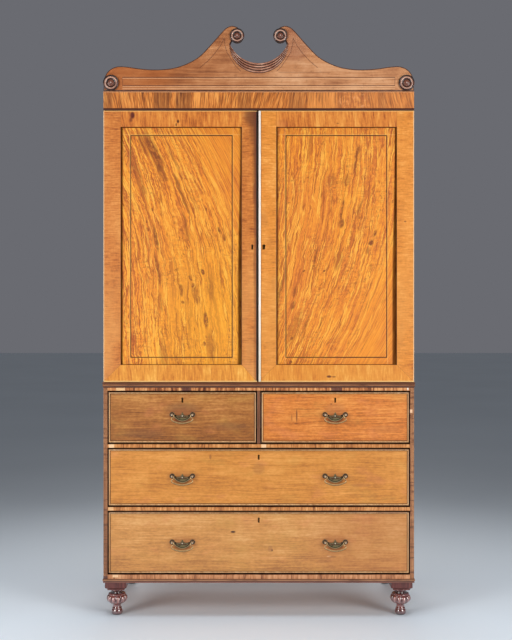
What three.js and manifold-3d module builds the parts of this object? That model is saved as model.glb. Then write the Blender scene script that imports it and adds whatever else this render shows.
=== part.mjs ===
// Linen press in two parts: a cupboard with two panelled doors and four linen trays stands on a chest of
// two short and two long drawers with turned feet, under a flat swan-neck pediment with roundels.
// Millimetres, +Z up, the front faces -Y. The origin is on the floor, in the middle of the overall box.

import * as THREE from 'three';
import { mergeVertices } from 'three/addons/utils/BufferGeometryUtils.js';
import Module from 'manifold-3d';

const wasm = await Module();
wasm.setup();

// Whole press. Depths count from the plane of the door and drawer fronts.
const caseWidth = 1220;
const caseDepth = 545;
const seat = 0.3; // gap left in every glued or resting joint
const overrun = 40; // how far a cutting solid runs past what it cuts

// Turned feet, from the square block down to the toe
const blockSide = 84;
const blockHeight = 24;
const blockChamfer = 7;
const blockInset = 5; // behind the front and inside the sides of the case
const throatHeight = 16;
const throatRadius = 21;
const collarHeight = 9;
const collarRadius = 28;
const bulbHeight = 40;
const bulbRadius = 42;
const neckHeight = 17;
const neckRadius = 14;
const toeHeight = 30;
const toeRadius = 21;
const footSides = 20;

// Boards of the chest
const chestSide = 16;
const chestTop = 12.5;
const chestBottom = 18;
const battenHeight = 16;
const battenWidth = 94;
const dividerThickness = 17;
const partitionThickness = 12;
const backThickness = 9;

// Drawers
const bottomFrontHeight = 239;
const middleFrontHeight = 221;
const shortFrontHeight = 198;
const drawerGap = 4.5; // round each front, in its opening
const frontThickness = 20;
const beadWidth = 5.5;
const beadProud = 3;
const beadGroove = 2;
const drawerBoxDepth = 470;
const drawerBoxDrop = 10; // top of the box under the top of its front
const drawerSide = 9;
const drawerFloor = 6;
const drawerFloorRise = 8;

// Handles: a pierced plate with two bored posts, and a bail that hangs in the bores
const bottomHandleShare = 0.51;
const middleHandleShare = 0.523;
const shortHandleShare = 0.555;
const plateThickness = 1.8;
const plateDrop = 23; // from the axis of the bail to the lowest point of the plate
const postOffset = 40;
const roseRadius = 12;
const roseThickness = 3.2;
const postRadius = 4.6;
const boreReach = 13; // from the plate to the axis of the bail
const postNose = 4.6; // from that axis to the end of the post
const bailRadius = 2;
const bailClearance = 0.4;
const bailDrop = 33;
const handleSides = 12; // of a rose and its post
const bailSides = 6;
const bailSteps = 44;

// Keyholes
const keyholeEye = 3.6;
const keyholeSlot = 2; // half its width
const keyholeHeight = 19;
const keyholeSteps = 8;
const drawerKeyholeDrop = 22; // from the top of the front
const doorKeyholeInset = 19; // from the meeting edge of the door
const doorKeyholeShare = 0.497;

// Mouldings round the foot of the chest and the waist
const baseHeight = 15;
const waistHeight = 21;
const mouldingProud = 5;
const mouldingSideProud = 3;
const mouldingDepth = 4; // behind the front plane
const mouldingSideDepth = 2;

// Boards of the cupboard
const cupboardSide = 18;
const cupboardTop = 18;
const friezeHeight = 74;
const friezeLowBead = 8;
const friezeHighBead = 4;
const friezeBeadProud = 2;

// Doors
const doorHeight = 1065;
const doorThickness = 22;
const doorAir = 3; // between the back of a door and the front edges of the cupboard
const doorGap = 2; // over and under a door
const meetingPlace = -4; // the middle of the gap between the doors
const meetingGap = 5;
const hingeStile = 68;
const leftMeetingStile = 60;
const rightMeetingStile = 70.6;
const topRail = 64;
const bottomRail = 67;
const panelSunk = 10;
const panelThickness = 9;
const panelRebate = 7;
const stripWidth = 10.6;
const stripProud = 4;
const stripShort = 1; // at each end of the door
const stripSteps = 8;

// Centre hinges: a plate let into the case at the top and bottom of each door, with a pin in the door
const pinInset = 8; // from the outer edge of the door
const pinRadius = 3;
const pinLength = 14;
const pinClearance = 0.3;
const pinSides = 16;
const washerRadius = 5;
const hingePlateThickness = 3;
const hingePlateInner = 33; // from the pin towards the middle of the press
const hingePlateOuter = 5;
const hingePlateHalfWidth = 6;

// Linen trays
const trayCount = 4;
const trayPitch = 262;
const trayFirst = 42; // the lowest tray above the floor of the cupboard
const trayDepth = 445;
const trayRun = 48; // free way behind the closed doors
const trayHeight = 105;
const traySide = 9;
const trayFloor = 7;
const traySideClearance = 1.5;
const trayHoldWidth = 420;
const trayHoldDepth = 34;
const trayHoldSteps = 10;
const bearerWidth = 14;
const bearerHeight = 14;
const bearerEndInset = 6;

// Pediment
const pedimentHeight = 257;
const pedimentThickness = 22;
const pedimentProud = 2;
const scrollPlaceShare = 0.1393; // of half the width of the press, as for the brackets
const scrollRise = 217;
const scrollRadius = 28.5;
const scrollUnder = 3; // the board's curl is smaller than its roundel by this much
const curlStart = Math.PI * 0.75;
const curlEnd = Math.PI * 1.78;
const curlSteps = 9;
const cornerInset = 30; // from the end of the pediment
const cornerRise = 32;
const cornerRadius = 31;
const roundelProud = 8;
const roundelSides = 18;
const crestSteps = 32;
const notchRadius = 122;
const notchFloor = 110; // the lowest point of the round opening above the foot of the pediment
const crescentRadius = 116;
const crescentWidth = 40;
const crescentProud = 5;
const hornRise = 184; // the ends of the crescent above the foot of the pediment
const crescentSteps = 16;
const bracketPlaceShare = 0.31;
const bracketThickness = 20;
const bracketHeight = 140;
const bracketDepth = 110;

// Levels and places worked out from the sizes above
const half = caseWidth / 2;
const footHeight = blockHeight + throatHeight + collarHeight + bulbHeight + neckHeight + toeHeight;
const chestFoot = footHeight + seat;
const chestFloor = chestFoot + battenHeight + chestBottom;
const rowHeight = (front) => front + 2 * drawerGap;
const lowDivider = chestFloor + rowHeight(bottomFrontHeight);
const middleFloor = lowDivider + dividerThickness;
const highDivider = middleFloor + rowHeight(middleFrontHeight);
const shortFloor = highDivider + dividerThickness;
const chestRoof = shortFloor + rowHeight(shortFrontHeight);
const waistFoot = chestRoof + chestTop + seat;
const cupboardFloor = waistFoot + waistHeight;
const doorFoot = cupboardFloor + doorGap;
const doorHead = doorFoot + doorHeight;
const friezeFoot = doorHead + doorGap;
const friezeHead = friezeFoot + friezeHeight;
const pedimentFoot = friezeHead + seat;
const chestInside = half - chestSide;
const cupboardInside = half - cupboardSide;
const handleOffset = (chestInside + partitionThickness / 2) / 2;
const caseFront = doorThickness + doorAir;
const backFront = caseDepth - backThickness;
const pinOffset = half - pinInset;
const pinPlace = doorThickness / 2;
const postReach = plateThickness + boreReach + postNose;
const scrollOffset = half * scrollPlaceShare;
const scrollMiddle = pedimentFoot + scrollRise;
const hornTop = pedimentFoot + hornRise;
const notchMiddle = pedimentFoot + notchFloor + notchRadius;
const crescentMiddle = pedimentFoot + notchFloor - crescentWidth + crescentRadius;
const crestReach = pedimentProud + Math.max(roundelProud, crescentProud);
const frontReach = Math.max(postReach, crestReach, mouldingProud, friezeBeadProud, stripProud);
const middleOfDepth = (caseDepth - frontReach) / 2;

// Finishes of the real pieces
function finish(color, roughness, metalness) {
  return new THREE.MeshStandardMaterial({ color, roughness, metalness });
}

const satinwood = () => finish(0xe29a4e, 0.42, 0);
const drawerWood = () => finish(0xd2904f, 0.45, 0);
const crossbanding = () => finish(0xc97a42, 0.45, 0);
const caseWood = () => finish(0xa0714f, 0.5, 0);
const mahogany = () => finish(0x7a4a34, 0.4, 0);
const pedimentWood = () => finish(0xb87850, 0.5, 0);
const footWood = () => finish(0x6e3428, 0.25, 0);
const pine = () => finish(0xb98f5e, 0.75, 0);
const brass = () => finish(0x9c8a5c, 0.4, 0.9);
const paleBrass = () => finish(0xefe6c8, 0.2, 0.9);

// Solids
const vector = (x, y) => new THREE.Vector2(x, y);

function solidOf(geometry) {
  const bare = geometry.clone();
  bare.deleteAttribute('normal');
  bare.deleteAttribute('uv');
  const merged = mergeVertices(bare);
  const corners = merged.getIndex().array;
  const triangles = [];
  for (let i = 0; i < corners.length; i += 3) {
    const [a, b, c] = corners.slice(i, i + 3);
    if (a !== b && b !== c && c !== a) triangles.push(a, b, c);
  }
  const vertProperties = new Float32Array(merged.getAttribute('position').array);
  const triVerts = new Uint32Array(triangles);
  return new wasm.Manifold(new wasm.Mesh({ numProp: 3, vertProperties, triVerts }));
}

function geometryOf(solid) {
  const mesh = solid.getMesh();
  const geometry = new THREE.BufferGeometry();
  geometry.setAttribute('position', new THREE.BufferAttribute(mesh.vertProperties, 3));
  geometry.setIndex(new THREE.BufferAttribute(mesh.triVerts, 1));
  geometry.computeVertexNormals();
  return geometry;
}

// A box between two corners
function boxGeometry(low, high) {
  const geometry = new THREE.BoxGeometry(high[0] - low[0], high[1] - low[1], high[2] - low[2]);
  return geometry.translate((low[0] + high[0]) / 2, (low[1] + high[1]) / 2, (low[2] + high[2]) / 2);
}

const boxSolid = (low, high) => solidOf(boxGeometry(low, high));

// An outline of (x, z) points, carried from depth y0 to depth y1
function frontPlate(points, y0, y1, holes = []) {
  const shape = new THREE.Shape(points);
  shape.holes = holes.map((hole) => new THREE.Path(hole));
  const geometry = new THREE.ExtrudeGeometry(shape, { depth: y1 - y0, bevelEnabled: false });
  return geometry.rotateX(Math.PI / 2).translate(0, y1, 0);
}

// A profile of (depth, z) points, carried from x0 to x1
function crossBar(points, x0, x1) {
  const shape = new THREE.Shape(points);
  const geometry = new THREE.ExtrudeGeometry(shape, { depth: x1 - x0, bevelEnabled: false });
  const turn = new THREE.Matrix4().makeBasis(
    new THREE.Vector3(0, 1, 0),
    new THREE.Vector3(0, 0, 1),
    new THREE.Vector3(1, 0, 0),
  );
  return geometry.applyMatrix4(turn).translate(x0, 0, 0);
}

// A turned piece from (radius, height) points, standing on z = 0
function turned(points, segments) {
  return new THREE.LatheGeometry(points, segments).rotateX(Math.PI / 2);
}

const mirrored = (points) => points.map((p) => vector(-p.x, p.y)).reverse();

function arcPoints(x, y, radius, start, end, steps) {
  return new THREE.EllipseCurve(x, y, radius, radius, start, end, end < start).getPoints(steps);
}

const press = new THREE.Group();
press.position.y = -middleOfDepth;

function add(name, shape, material) {
  const mesh = new THREE.Mesh(shape.isBufferGeometry ? shape : geometryOf(shape), material);
  mesh.name = name;
  press.add(mesh);
  return mesh;
}

// Shares of a run's radius and of its height, from its lower end
const toeShares = [[0, 0], [0.85, 0], [1, 0.35], [0.94, 0.7]];
const neckShares = [[1, 0], [1, 1]];
const bulbShares = [[0.67, 0.12], [0.93, 0.3], [1, 0.5], [0.93, 0.72]];
const collarShares = [[1, 0], [1, 1]];
const throatShares = [[1, 0.25], [1.1, 0.6]];
const tenonShares = [[1, 0], [1, 0.5], [0, 0.5]];

function turnedRun(shares, radius, foot, height) {
  return shares.map(([out, up]) => vector(out * radius, foot + up * height));
}

// Foot: a square block with a chamfered underside over a turned throat, collar, bulb, neck and toe
function footSolid() {
  const neck = toeHeight;
  const bulb = neck + neckHeight;
  const collar = bulb + bulbHeight;
  const throat = collar + collarHeight;
  const block = throat + throatHeight;
  const blockTop = block + blockHeight;
  const profile = [
    ...turnedRun(toeShares, toeRadius, 0, toeHeight),
    ...turnedRun(neckShares, neckRadius, neck, neckHeight),
    ...turnedRun(bulbShares, bulbRadius, bulb, bulbHeight),
    ...turnedRun(collarShares, collarRadius, collar, collarHeight),
    ...turnedRun(throatShares, throatRadius, throat, throatHeight),
    ...turnedRun(tenonShares, collarRadius, block, blockHeight),
  ];
  const side = blockSide / 2;
  const slope = [
    vector(-side + blockChamfer, block),
    vector(side - blockChamfer, block),
    vector(side, block + blockChamfer),
    vector(side, blockTop),
    vector(-side, blockTop),
    vector(-side, block + blockChamfer),
  ];
  const square = solidOf(crossBar(slope, -side, side)).intersect(solidOf(frontPlate(slope, -side, side)));
  return square.add(solidOf(turned(profile, footSides)));
}

function addFeet() {
  const foot = geometryOf(footSolid());
  const across = half - blockInset - blockSide / 2;
  const front = blockInset + blockSide / 2;
  const places = { front_left: [-across, front], front_right: [across, front] };
  places.back_left = [-across, caseDepth - front];
  places.back_right = [across, caseDepth - front];
  for (const [name, [x, y]] of Object.entries(places)) {
    add('foot_' + name, foot, footWood()).position.set(x, y, 0);
  }
}

// A moulding round the front and both sides, mitred at the corners and hollow for the board that it frames
function mitredMoulding(profileShares, foot, height) {
  const head = foot + height;
  const outline = (reach, proud) => {
    return profileShares.map(([out, up]) => vector(reach + out * proud, foot + up * height));
  };
  const front = outline(0, mouldingProud).map((p) => vector(-p.x, p.y));
  const across = [...front, vector(caseDepth, head), vector(caseDepth, foot)];
  const right = outline(half, mouldingSideProud);
  const along = [...right, ...mirrored(right)];
  const wide = half + mouldingSideProud + overrun;
  const block = solidOf(crossBar(across.reverse(), -wide, wide)).intersect(
    solidOf(frontPlate(along, -overrun, caseDepth)),
  );
  const inner = half - mouldingSideDepth;
  const back = caseDepth + overrun;
  return block.subtract(boxSolid([-inner, mouldingDepth, foot - overrun], [inner, back, head + overrun]));
}

// Shares of a moulding's projection and height, from its foot to its head
const baseShares = [[0.3, 0], [0.3, 0.3], [0.45, 0.45], [0.9, 0.52], [1, 0.66], [1, 0.84], [0.7, 1]];
const waistShares = [
  [0.35, 0],
  [0.35, 0.2],
  [0.85, 0.26],
  [1, 0.38],
  [0.85, 0.5],
  [0.6, 0.56],
  [1, 0.7],
  [1, 1],
];

function addBaseMoulding() {
  const around = mitredMoulding(baseShares, chestFoot, baseHeight);
  const room = half + seat;
  const chest = boxSolid([-room, -seat, chestFoot - overrun], [room, caseDepth + overrun, waistFoot]);
  add('base_moulding', around.subtract(chest), mahogany());
}

function addChestBoards() {
  const outside = chestFoot;
  const head = chestRoof + chestTop;
  const inner = chestInside - seat;
  const back = backFront - seat;
  for (const [side, x0, x1] of [['left', -half, -chestInside], ['right', chestInside, half]]) {
    add('chest_side_' + side, boxGeometry([x0, 0, outside], [x1, caseDepth, head]), caseWood());
  }
  const underside = outside + battenHeight;
  const hollow = inner - battenWidth;
  const bottom = boxSolid([-inner, 0, outside], [inner, back, chestFloor]).subtract(
    boxSolid([-hollow, battenWidth, outside - overrun], [hollow, back - battenWidth, underside]),
  );
  add('chest_bottom_board', bottom, crossbanding());
  add('chest_top_board', boxGeometry([-inner, 0, chestRoof], [inner, back, head]), crossbanding());
  for (const [name, floor] of [['low', lowDivider], ['high', highDivider]]) {
    const board = boxGeometry([-inner, 0, floor], [inner, back, floor + dividerThickness]);
    add('drawer_divider_' + name, board, crossbanding());
  }
  const post = partitionThickness / 2;
  const partition = boxGeometry([-post, 0, shortFloor + seat], [post, back, chestRoof - seat]);
  add('drawer_partition', partition, mahogany());
  add('chest_back', boxGeometry([-inner, backFront, outside], [inner, caseDepth, head]), pine());
}

// Keyhole with a round eye over a slot, right through the front that it is cut from
function keyholeSolid(x, top) {
  const eye = top - keyholeEye;
  const foot = top - keyholeHeight;
  const open = Math.asin(keyholeSlot / keyholeEye);
  const round = arcPoints(x, eye, keyholeEye, -Math.PI / 2 + open, (Math.PI * 3) / 2 - open, keyholeSteps);
  const outline = [vector(x - keyholeSlot, foot), vector(x + keyholeSlot, foot), ...round];
  return solidOf(frontPlate(outline, -overrun, overrun));
}

// Drawer front with a proud cock bead round its edge and a fine groove inside the bead
function drawerFront(x0, x1, z0, z1, keyholeX) {
  const rim = (inset, y0, y1) => boxSolid([x0 + inset, y0, z0 + inset], [x1 - inset, y1, z1 - inset]);
  const fieldInset = beadWidth + beadGroove;
  const groove = rim(beadWidth, -overrun, beadGroove).subtract(rim(fieldInset, -2 * overrun, overrun));
  const front = rim(0, -beadProud, frontThickness).subtract(rim(beadWidth, -overrun, 0)).subtract(groove);
  return front.subtract(keyholeSolid(keyholeX, z1 - drawerKeyholeDrop));
}

// Drawer box, open at the top, with its floor above the lower edges of the sides that it runs on
function drawerBox(x0, x1, floor, frontTop) {
  const y0 = frontThickness + seat;
  const y1 = y0 + drawerBoxDepth;
  const z0 = floor + seat;
  const z1 = frontTop - drawerBoxDrop;
  const within = (bottom, top) => {
    return boxSolid([x0 + drawerSide, y0 + drawerSide, bottom], [x1 - drawerSide, y1 - drawerSide, top]);
  };
  const outside = boxSolid([x0, y0, z0], [x1, y1, z1]);
  const base = z0 + drawerFloorRise;
  return outside.subtract(within(base + drawerFloor, z1 + overrun)).subtract(within(z0 - overrun, base));
}

// Shares of the post's offset and of the plate's drop, from the lowest point round to the point on top
const plateShares = [
  [0, -1],
  [0.2, -0.96],
  [0.45, -0.8],
  [0.68, -0.57],
  [0.85, -0.36],
  [0.85, 0.2],
  [0.75, 0.04],
  [0.6, -0.07],
  [0.375, -0.2],
  [0.2, -0.13],
  [0.1, 0.1],
  [0, 0.4],
];
const piercingShares = [[0.18, -0.52, 0.07, 0.12], [0.48, -0.42, 0.1, 0.08]]; // place, then half sizes
const roseShares = [[1, 0.6], [0.85, 1], [0.4, 0.8]]; // of its radius and thickness
const postShares = [[0.8, 0.5], [1, 1]]; // of its radius and of the way to the bail's axis
const noseShares = [[0.8, 1], [0, 1]];

function ellipsePoints(x, z, wide, high, count) {
  return new THREE.EllipseCurve(x, z, wide, high, 0, 2 * Math.PI).getPoints(count).slice(0, count);
}

// Pierced plate with a rose and a cross-bored post at each end, round the middle of the bail's axis
function handlePlate() {
  const rightHalf = plateShares.map(([x, z]) => vector(x * postOffset, z * plateDrop));
  const outline = [...rightHalf, ...mirrored(rightHalf).slice(1, -1)];
  const holes = [];
  for (const side of [-1, 1]) {
    for (const [x, z, wide, high] of piercingShares) {
      const place = [side * x * postOffset, z * plateDrop];
      holes.push(ellipsePoints(...place, wide * postOffset, high * plateDrop, 2 * bailSides));
    }
  }
  let plate = solidOf(frontPlate(outline, -plateThickness, -seat, holes));
  const profile = [
    vector(0, seat),
    vector(roseRadius, seat),
    ...turnedRun(roseShares, roseRadius, 0, roseThickness),
    ...turnedRun(postShares, postRadius, plateThickness, boreReach),
    ...turnedRun(noseShares, postRadius, plateThickness + boreReach, postNose),
  ];
  const boreRadius = bailRadius + bailClearance;
  for (const side of [-1, 1]) {
    const x = side * postOffset;
    const post = turned(profile, handleSides).rotateX(Math.PI / 2).translate(x, 0, 0);
    const bore = new THREE.CylinderGeometry(boreRadius, boreRadius, 4 * postRadius, handleSides);
    bore.rotateZ(Math.PI / 2).translate(x, -plateThickness - boreReach, 0);
    plate = plate.add(solidOf(post)).subtract(solidOf(bore));
  }
  return plate;
}

// Shares of the post's offset and of the bail's drop, from beside a post to the middle of the bow
const bailShares = [
  [0.82, -0.06],
  [0.81, -0.2],
  [0.88, -0.31],
  [1.04, -0.39],
  [1.15, -0.49],
  [1.1, -0.62],
  [0.88, -0.79],
  [0.48, -0.94],
];

// Bail whose necks turn down beside the posts, with pins that point outwards through the posts
function bailGeometry() {
  const pin = [[postOffset + postRadius, 0], [postOffset, 0], [postOffset - postRadius, 0]];
  const side = [...pin, ...bailShares.map(([x, z]) => [x * postOffset, z * bailDrop])];
  const points = [...side, [0, -bailDrop], ...side.map(([x, z]) => [-x, z]).reverse()];
  const stations = points.map(([x, z]) => new THREE.Vector3(x, 0, z));
  const path = new THREE.CatmullRomCurve3(stations, false, 'centripetal');
  const section = new THREE.Shape(ellipsePoints(0, 0, bailRadius, bailRadius, bailSides));
  return new THREE.ExtrudeGeometry(section, { steps: bailSteps, extrudePath: path, bevelEnabled: false });
}

const plateShape = geometryOf(handlePlate());
const bailShape = bailGeometry();

function addHandle(name, x, z) {
  add('handle_plate_' + name, plateShape, brass()).position.set(x, 0, z);
  add('handle_bail_' + name, bailShape, brass()).position.set(x, -plateThickness - boreReach, z);
}

function addDrawer(name, x0, x1, floor, frontHeight, handleShare, keyholeX, handles) {
  const z0 = floor + drawerGap;
  const z1 = z0 + frontHeight;
  add(name + '_front', drawerFront(x0 + drawerGap, x1 - drawerGap, z0, z1, keyholeX), drawerWood());
  add(name + '_box', drawerBox(x0 + drawerGap, x1 - drawerGap, floor, z1), pine());
  for (const [handle, x] of handles) addHandle(handle, x, z0 + frontHeight * handleShare);
}

function addDrawers() {
  const inner = chestInside;
  const post = partitionThickness / 2;
  const pair = (row) => [[row + '_left', -handleOffset], [row + '_right', handleOffset]];
  const long = [
    ['bottom', chestFloor, bottomFrontHeight, bottomHandleShare],
    ['middle', middleFloor, middleFrontHeight, middleHandleShare],
  ];
  for (const [row, floor, height, share] of long) {
    addDrawer('drawer_' + row, -inner, inner, floor, height, share, 0, pair(row));
  }
  for (const [side, x0, x1] of [['left', -inner, -post], ['right', post, inner]]) {
    const middle = (x0 + x1) / 2;
    const handle = [['short_' + side, middle]];
    const share = shortHandleShare;
    addDrawer('drawer_short_' + side, x0, x1, shortFloor, shortFrontHeight, share, middle, handle);
  }
}

// Hinge plate with its pin and washer, which stand up from the lower plate and down from the upper one
function hingeSolid(side, face, up) {
  const x = side * pinOffset;
  const ends = [x - side * hingePlateInner, x + side * hingePlateOuter].sort((a, b) => a - b);
  const level = [face - up * hingePlateThickness, face].sort((a, b) => a - b);
  const plate = boxSolid(
    [ends[0], pinPlace - hingePlateHalfWidth, level[0]],
    [ends[1], pinPlace + hingePlateHalfWidth, level[1]],
  );
  const root = hingePlateThickness / 2;
  const pillar = (radius, reach) => {
    const round = new THREE.CylinderGeometry(radius, radius, reach + root, pinSides).rotateX(Math.PI / 2);
    return solidOf(round.translate(x, pinPlace, face + (up * (reach - root)) / 2));
  };
  return plate.add(pillar(pinRadius, pinLength)).add(pillar(washerRadius, doorGap - seat));
}

// The pocket for a hinge plate
function hingePocket(side, face, up) {
  const x = side * pinOffset;
  const inner = x - side * (hingePlateInner + seat);
  const outer = x + side * (hingePlateOuter + seat);
  const depth = face - up * (hingePlateThickness + seat);
  const wide = hingePlateHalfWidth + seat;
  const z = [depth, face + up * overrun].sort((a, b) => a - b);
  return boxSolid(
    [Math.min(inner, outer), pinPlace - wide, z[0]],
    [Math.max(inner, outer), pinPlace + wide, z[1]],
  );
}

function addHinges() {
  for (const [name, side] of [['left', -1], ['right', 1]]) {
    add('hinge_' + name + '_low', hingeSolid(side, cupboardFloor, 1), brass());
    add('hinge_' + name + '_high', hingeSolid(side, friezeFoot, -1), brass());
  }
}

function addCupboardBoards() {
  const inner = cupboardInside - seat;
  const back = backFront - seat;
  const front = caseFront + seat;
  const roof = friezeHead - cupboardTop;
  const bearerBack = backFront - bearerEndInset;
  const head = roof - seat;
  for (const [name, side] of [['left', -1], ['right', 1]]) {
    const span = (a, b) => [Math.min(side * a, side * b), Math.max(side * a, side * b)];
    const [x0, x1] = span(cupboardInside, half);
    let board = boxSolid([x0, front, cupboardFloor + seat], [x1, caseDepth, head]);
    const [b0, b1] = span(cupboardInside - bearerWidth, cupboardInside + seat);
    for (let i = 0; i < trayCount; i++) {
      const top = cupboardFloor + trayFirst + i * trayPitch;
      board = board.add(boxSolid([b0, front + bearerEndInset, top - bearerHeight], [b1, bearerBack, top]));
    }
    add('cupboard_side_' + name, board, caseWood());
  }
  const floorHalf = half - mouldingSideDepth - seat;
  const floorFront = mouldingDepth + seat;
  let floor = boxSolid([-floorHalf, floorFront, waistFoot], [floorHalf, caseDepth, cupboardFloor]);
  let frieze = solidOf(crossBar(friezeOutline(), -half, half));
  for (const side of [-1, 1]) {
    floor = floor.subtract(hingePocket(side, cupboardFloor, 1));
    frieze = frieze.subtract(hingePocket(side, friezeFoot, -1));
  }
  add('cupboard_bottom_board', floor, pine());
  add('frieze', frieze, crossbanding());
  add('cupboard_top_board', boxGeometry([-half, front, roof], [half, caseDepth, friezeHead]), pine());
  const backBoard = boxGeometry([-inner, backFront, cupboardFloor + seat], [inner, caseDepth, head]);
  add('cupboard_back', backBoard, pine());
  add('waist_moulding', mitredMoulding(waistShares, waistFoot, waistHeight), mahogany());
}

// Shares of a frieze bead's projection and height, from its lower edge
const friezeBeadShares = [[0, 0], [1, 0.3], [1, 0.7], [0, 1]];

// Frieze section: a flat face with a bead along its lower and its upper edge
function friezeOutline() {
  const bead = (foot, height) => {
    return friezeBeadShares.map(([out, up]) => vector(-out * friezeBeadProud, foot + up * height));
  };
  const face = [...bead(friezeFoot, friezeLowBead), ...bead(friezeHead - friezeHighBead, friezeHighBead)];
  return [...face, vector(caseFront, friezeHead), vector(caseFront, friezeFoot)];
}

// A door: a frame of two stiles and two rails in one glued piece, and a panel in a rebate at its back
function addDoor(name, side, x0, x1, leftStile, rightStile, keyholeX) {
  const rebate = panelRebate + seat;
  const sight = (grow, y0, y1) =>
    boxSolid(
      [x0 + leftStile - grow, y0, doorFoot + bottomRail - grow],
      [x1 - rightStile + grow, y1, doorHead - topRail + grow],
    );
  const boreRadius = pinRadius + pinClearance;
  const boreDepth = pinLength - doorGap / 2;
  let frame = boxSolid([x0, 0, doorFoot], [x1, doorThickness, doorHead])
    .subtract(sight(0, -overrun, overrun))
    .subtract(sight(rebate, panelSunk - seat, overrun));
  for (const middle of [doorFoot, doorHead]) {
    const bore = new THREE.CylinderGeometry(boreRadius, boreRadius, 2 * boreDepth, pinSides);
    bore.rotateX(Math.PI / 2).translate(side * pinOffset, pinPlace, middle);
    frame = frame.subtract(solidOf(bore));
  }
  const keyholeTop = doorFoot + doorHeight * doorKeyholeShare + keyholeHeight / 2;
  frame = frame.subtract(keyholeSolid(keyholeX, keyholeTop));
  add('door_' + name + '_frame', frame, satinwood());
  const panel = boxGeometry(
    [x0 + leftStile - panelRebate, panelSunk, doorFoot + bottomRail - panelRebate],
    [x1 - rightStile + panelRebate, panelSunk + panelThickness, doorHead - topRail + panelRebate],
  );
  add('door_' + name + '_panel', panel, satinwood());
}

// Polished half-round strip on the meeting edge of the right-hand door
function addMeetingStrip(x0) {
  const wide = stripWidth / 2;
  const round = new THREE.EllipseCurve(x0 + wide, seat, wide, stripProud - seat, 0, Math.PI);
  const shape = new THREE.Shape(round.getPoints(stripSteps));
  const depth = doorHeight - 2 * stripShort;
  const geometry = new THREE.ExtrudeGeometry(shape, { depth, bevelEnabled: false });
  geometry.rotateX(Math.PI).translate(0, 0, doorHead - stripShort);
  add('door_right_meeting_strip', geometry, paleBrass());
}

function addDoors() {
  const leftEdge = meetingPlace - meetingGap / 2;
  const rightEdge = meetingPlace + meetingGap / 2;
  addDoor('left', -1, -half, leftEdge, hingeStile, leftMeetingStile, leftEdge - doorKeyholeInset);
  const rightKeyhole = rightEdge + stripWidth / 2 + doorKeyholeInset;
  addDoor('right', 1, rightEdge, half, rightMeetingStile, hingeStile, rightKeyhole);
  addMeetingStrip(rightEdge);
}

// Linen tray: an open box with a dipped front that gives a hold
function addTrays() {
  const wide = cupboardInside - traySideClearance;
  const y0 = caseFront + trayRun;
  const y1 = y0 + trayDepth;
  const radius = (trayHoldWidth ** 2 / 4 + trayHoldDepth ** 2) / (2 * trayHoldDepth);
  const spread = Math.asin(trayHoldWidth / 2 / radius);
  for (let i = 0; i < trayCount; i++) {
    const z0 = cupboardFloor + trayFirst + i * trayPitch + seat;
    const z1 = z0 + trayHeight;
    const middle = z1 + radius - trayHoldDepth;
    const dip = arcPoints(0, middle, radius, -Math.PI / 2 - spread, -Math.PI / 2 + spread, trayHoldSteps);
    dip.push(vector(trayHoldWidth / 2, z1 + overrun), vector(-trayHoldWidth / 2, z1 + overrun));
    const inside = boxSolid(
      [-wide + traySide, y0 + traySide, z0 + trayFloor],
      [wide - traySide, y1 - traySide, z1 + overrun],
    );
    const hold = solidOf(frontPlate(dip, y0 - overrun, y0 + traySide + overrun));
    const tray = boxSolid([-wide, y0, z0], [wide, y1, z1]).subtract(inside).subtract(hold);
    add('linen_tray_' + (i + 1), tray, pine());
  }
}

// Shares of half the pediment's width and of its height, along its upper edge from the corner to the scroll
const crestShares = [
  [0.9967, 0.193],
  [0.98, 0.275],
  [0.954, 0.337],
  [0.9115, 0.378],
  [0.844, 0.374],
  [0.772, 0.349],
  [0.6885, 0.333],
  [0.61, 0.337],
  [0.531, 0.367],
  [0.46, 0.4265],
  [0.388, 0.524],
  [0.3246, 0.672],
  [0.272, 0.812],
  [0.2344, 0.913],
  [0.205, 0.975],
  [0.1705, 1],
  [0.138, 0.98],
];

// The angle at which a circle round the middle of the press passes the ends of the crescent
function hornAngle(middle, radius) {
  return -Math.asin((middle - hornTop) / radius);
}

// Right half of the pediment: foot, crest, curl round the scroll, and the round opening
function pedimentRightHalf() {
  const crest = crestShares.map(([x, z]) => vector(x * half, pedimentFoot + z * pedimentHeight));
  const curlRadius = scrollRadius - scrollUnder;
  const curl = arcPoints(scrollOffset, scrollMiddle, curlRadius, curlStart, curlEnd, curlSteps);
  const lip = hornAngle(notchMiddle, notchRadius);
  const notch = arcPoints(0, notchMiddle, notchRadius, lip, -Math.PI / 2, crescentSteps / 2);
  const foot = vector(half, pedimentFoot);
  return [foot, ...new THREE.SplineCurve(crest).getPoints(crestSteps), ...curl, ...notch];
}

// Raised crescent under the round opening
function crescentSolid() {
  const lip = hornAngle(notchMiddle, notchRadius);
  const outerLip = hornAngle(crescentMiddle, crescentRadius);
  const upper = arcPoints(0, notchMiddle, notchRadius, lip, -Math.PI - lip, crescentSteps);
  const lower = arcPoints(0, crescentMiddle, crescentRadius, -Math.PI - outerLip, outerLip, crescentSteps);
  return solidOf(frontPlate([...upper, ...lower], -pedimentProud - crescentProud, 0));
}

// Shares of a roundel's radius and of its thickness, from its back edge to the middle of its button
const roundelShares = [
  [0, 0],
  [1, 0],
  [1, 0.5],
  [0.92, 0.85],
  [0.8, 0.85],
  [0.7, 0.45],
  [0.36, 0.35],
  [0.26, 0.85],
  [0, 1],
];

function roundel(radius) {
  const profile = turnedRun(roundelShares, radius, seat, roundelProud - seat);
  return turned(profile, roundelSides).rotateX(Math.PI / 2);
}

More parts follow.
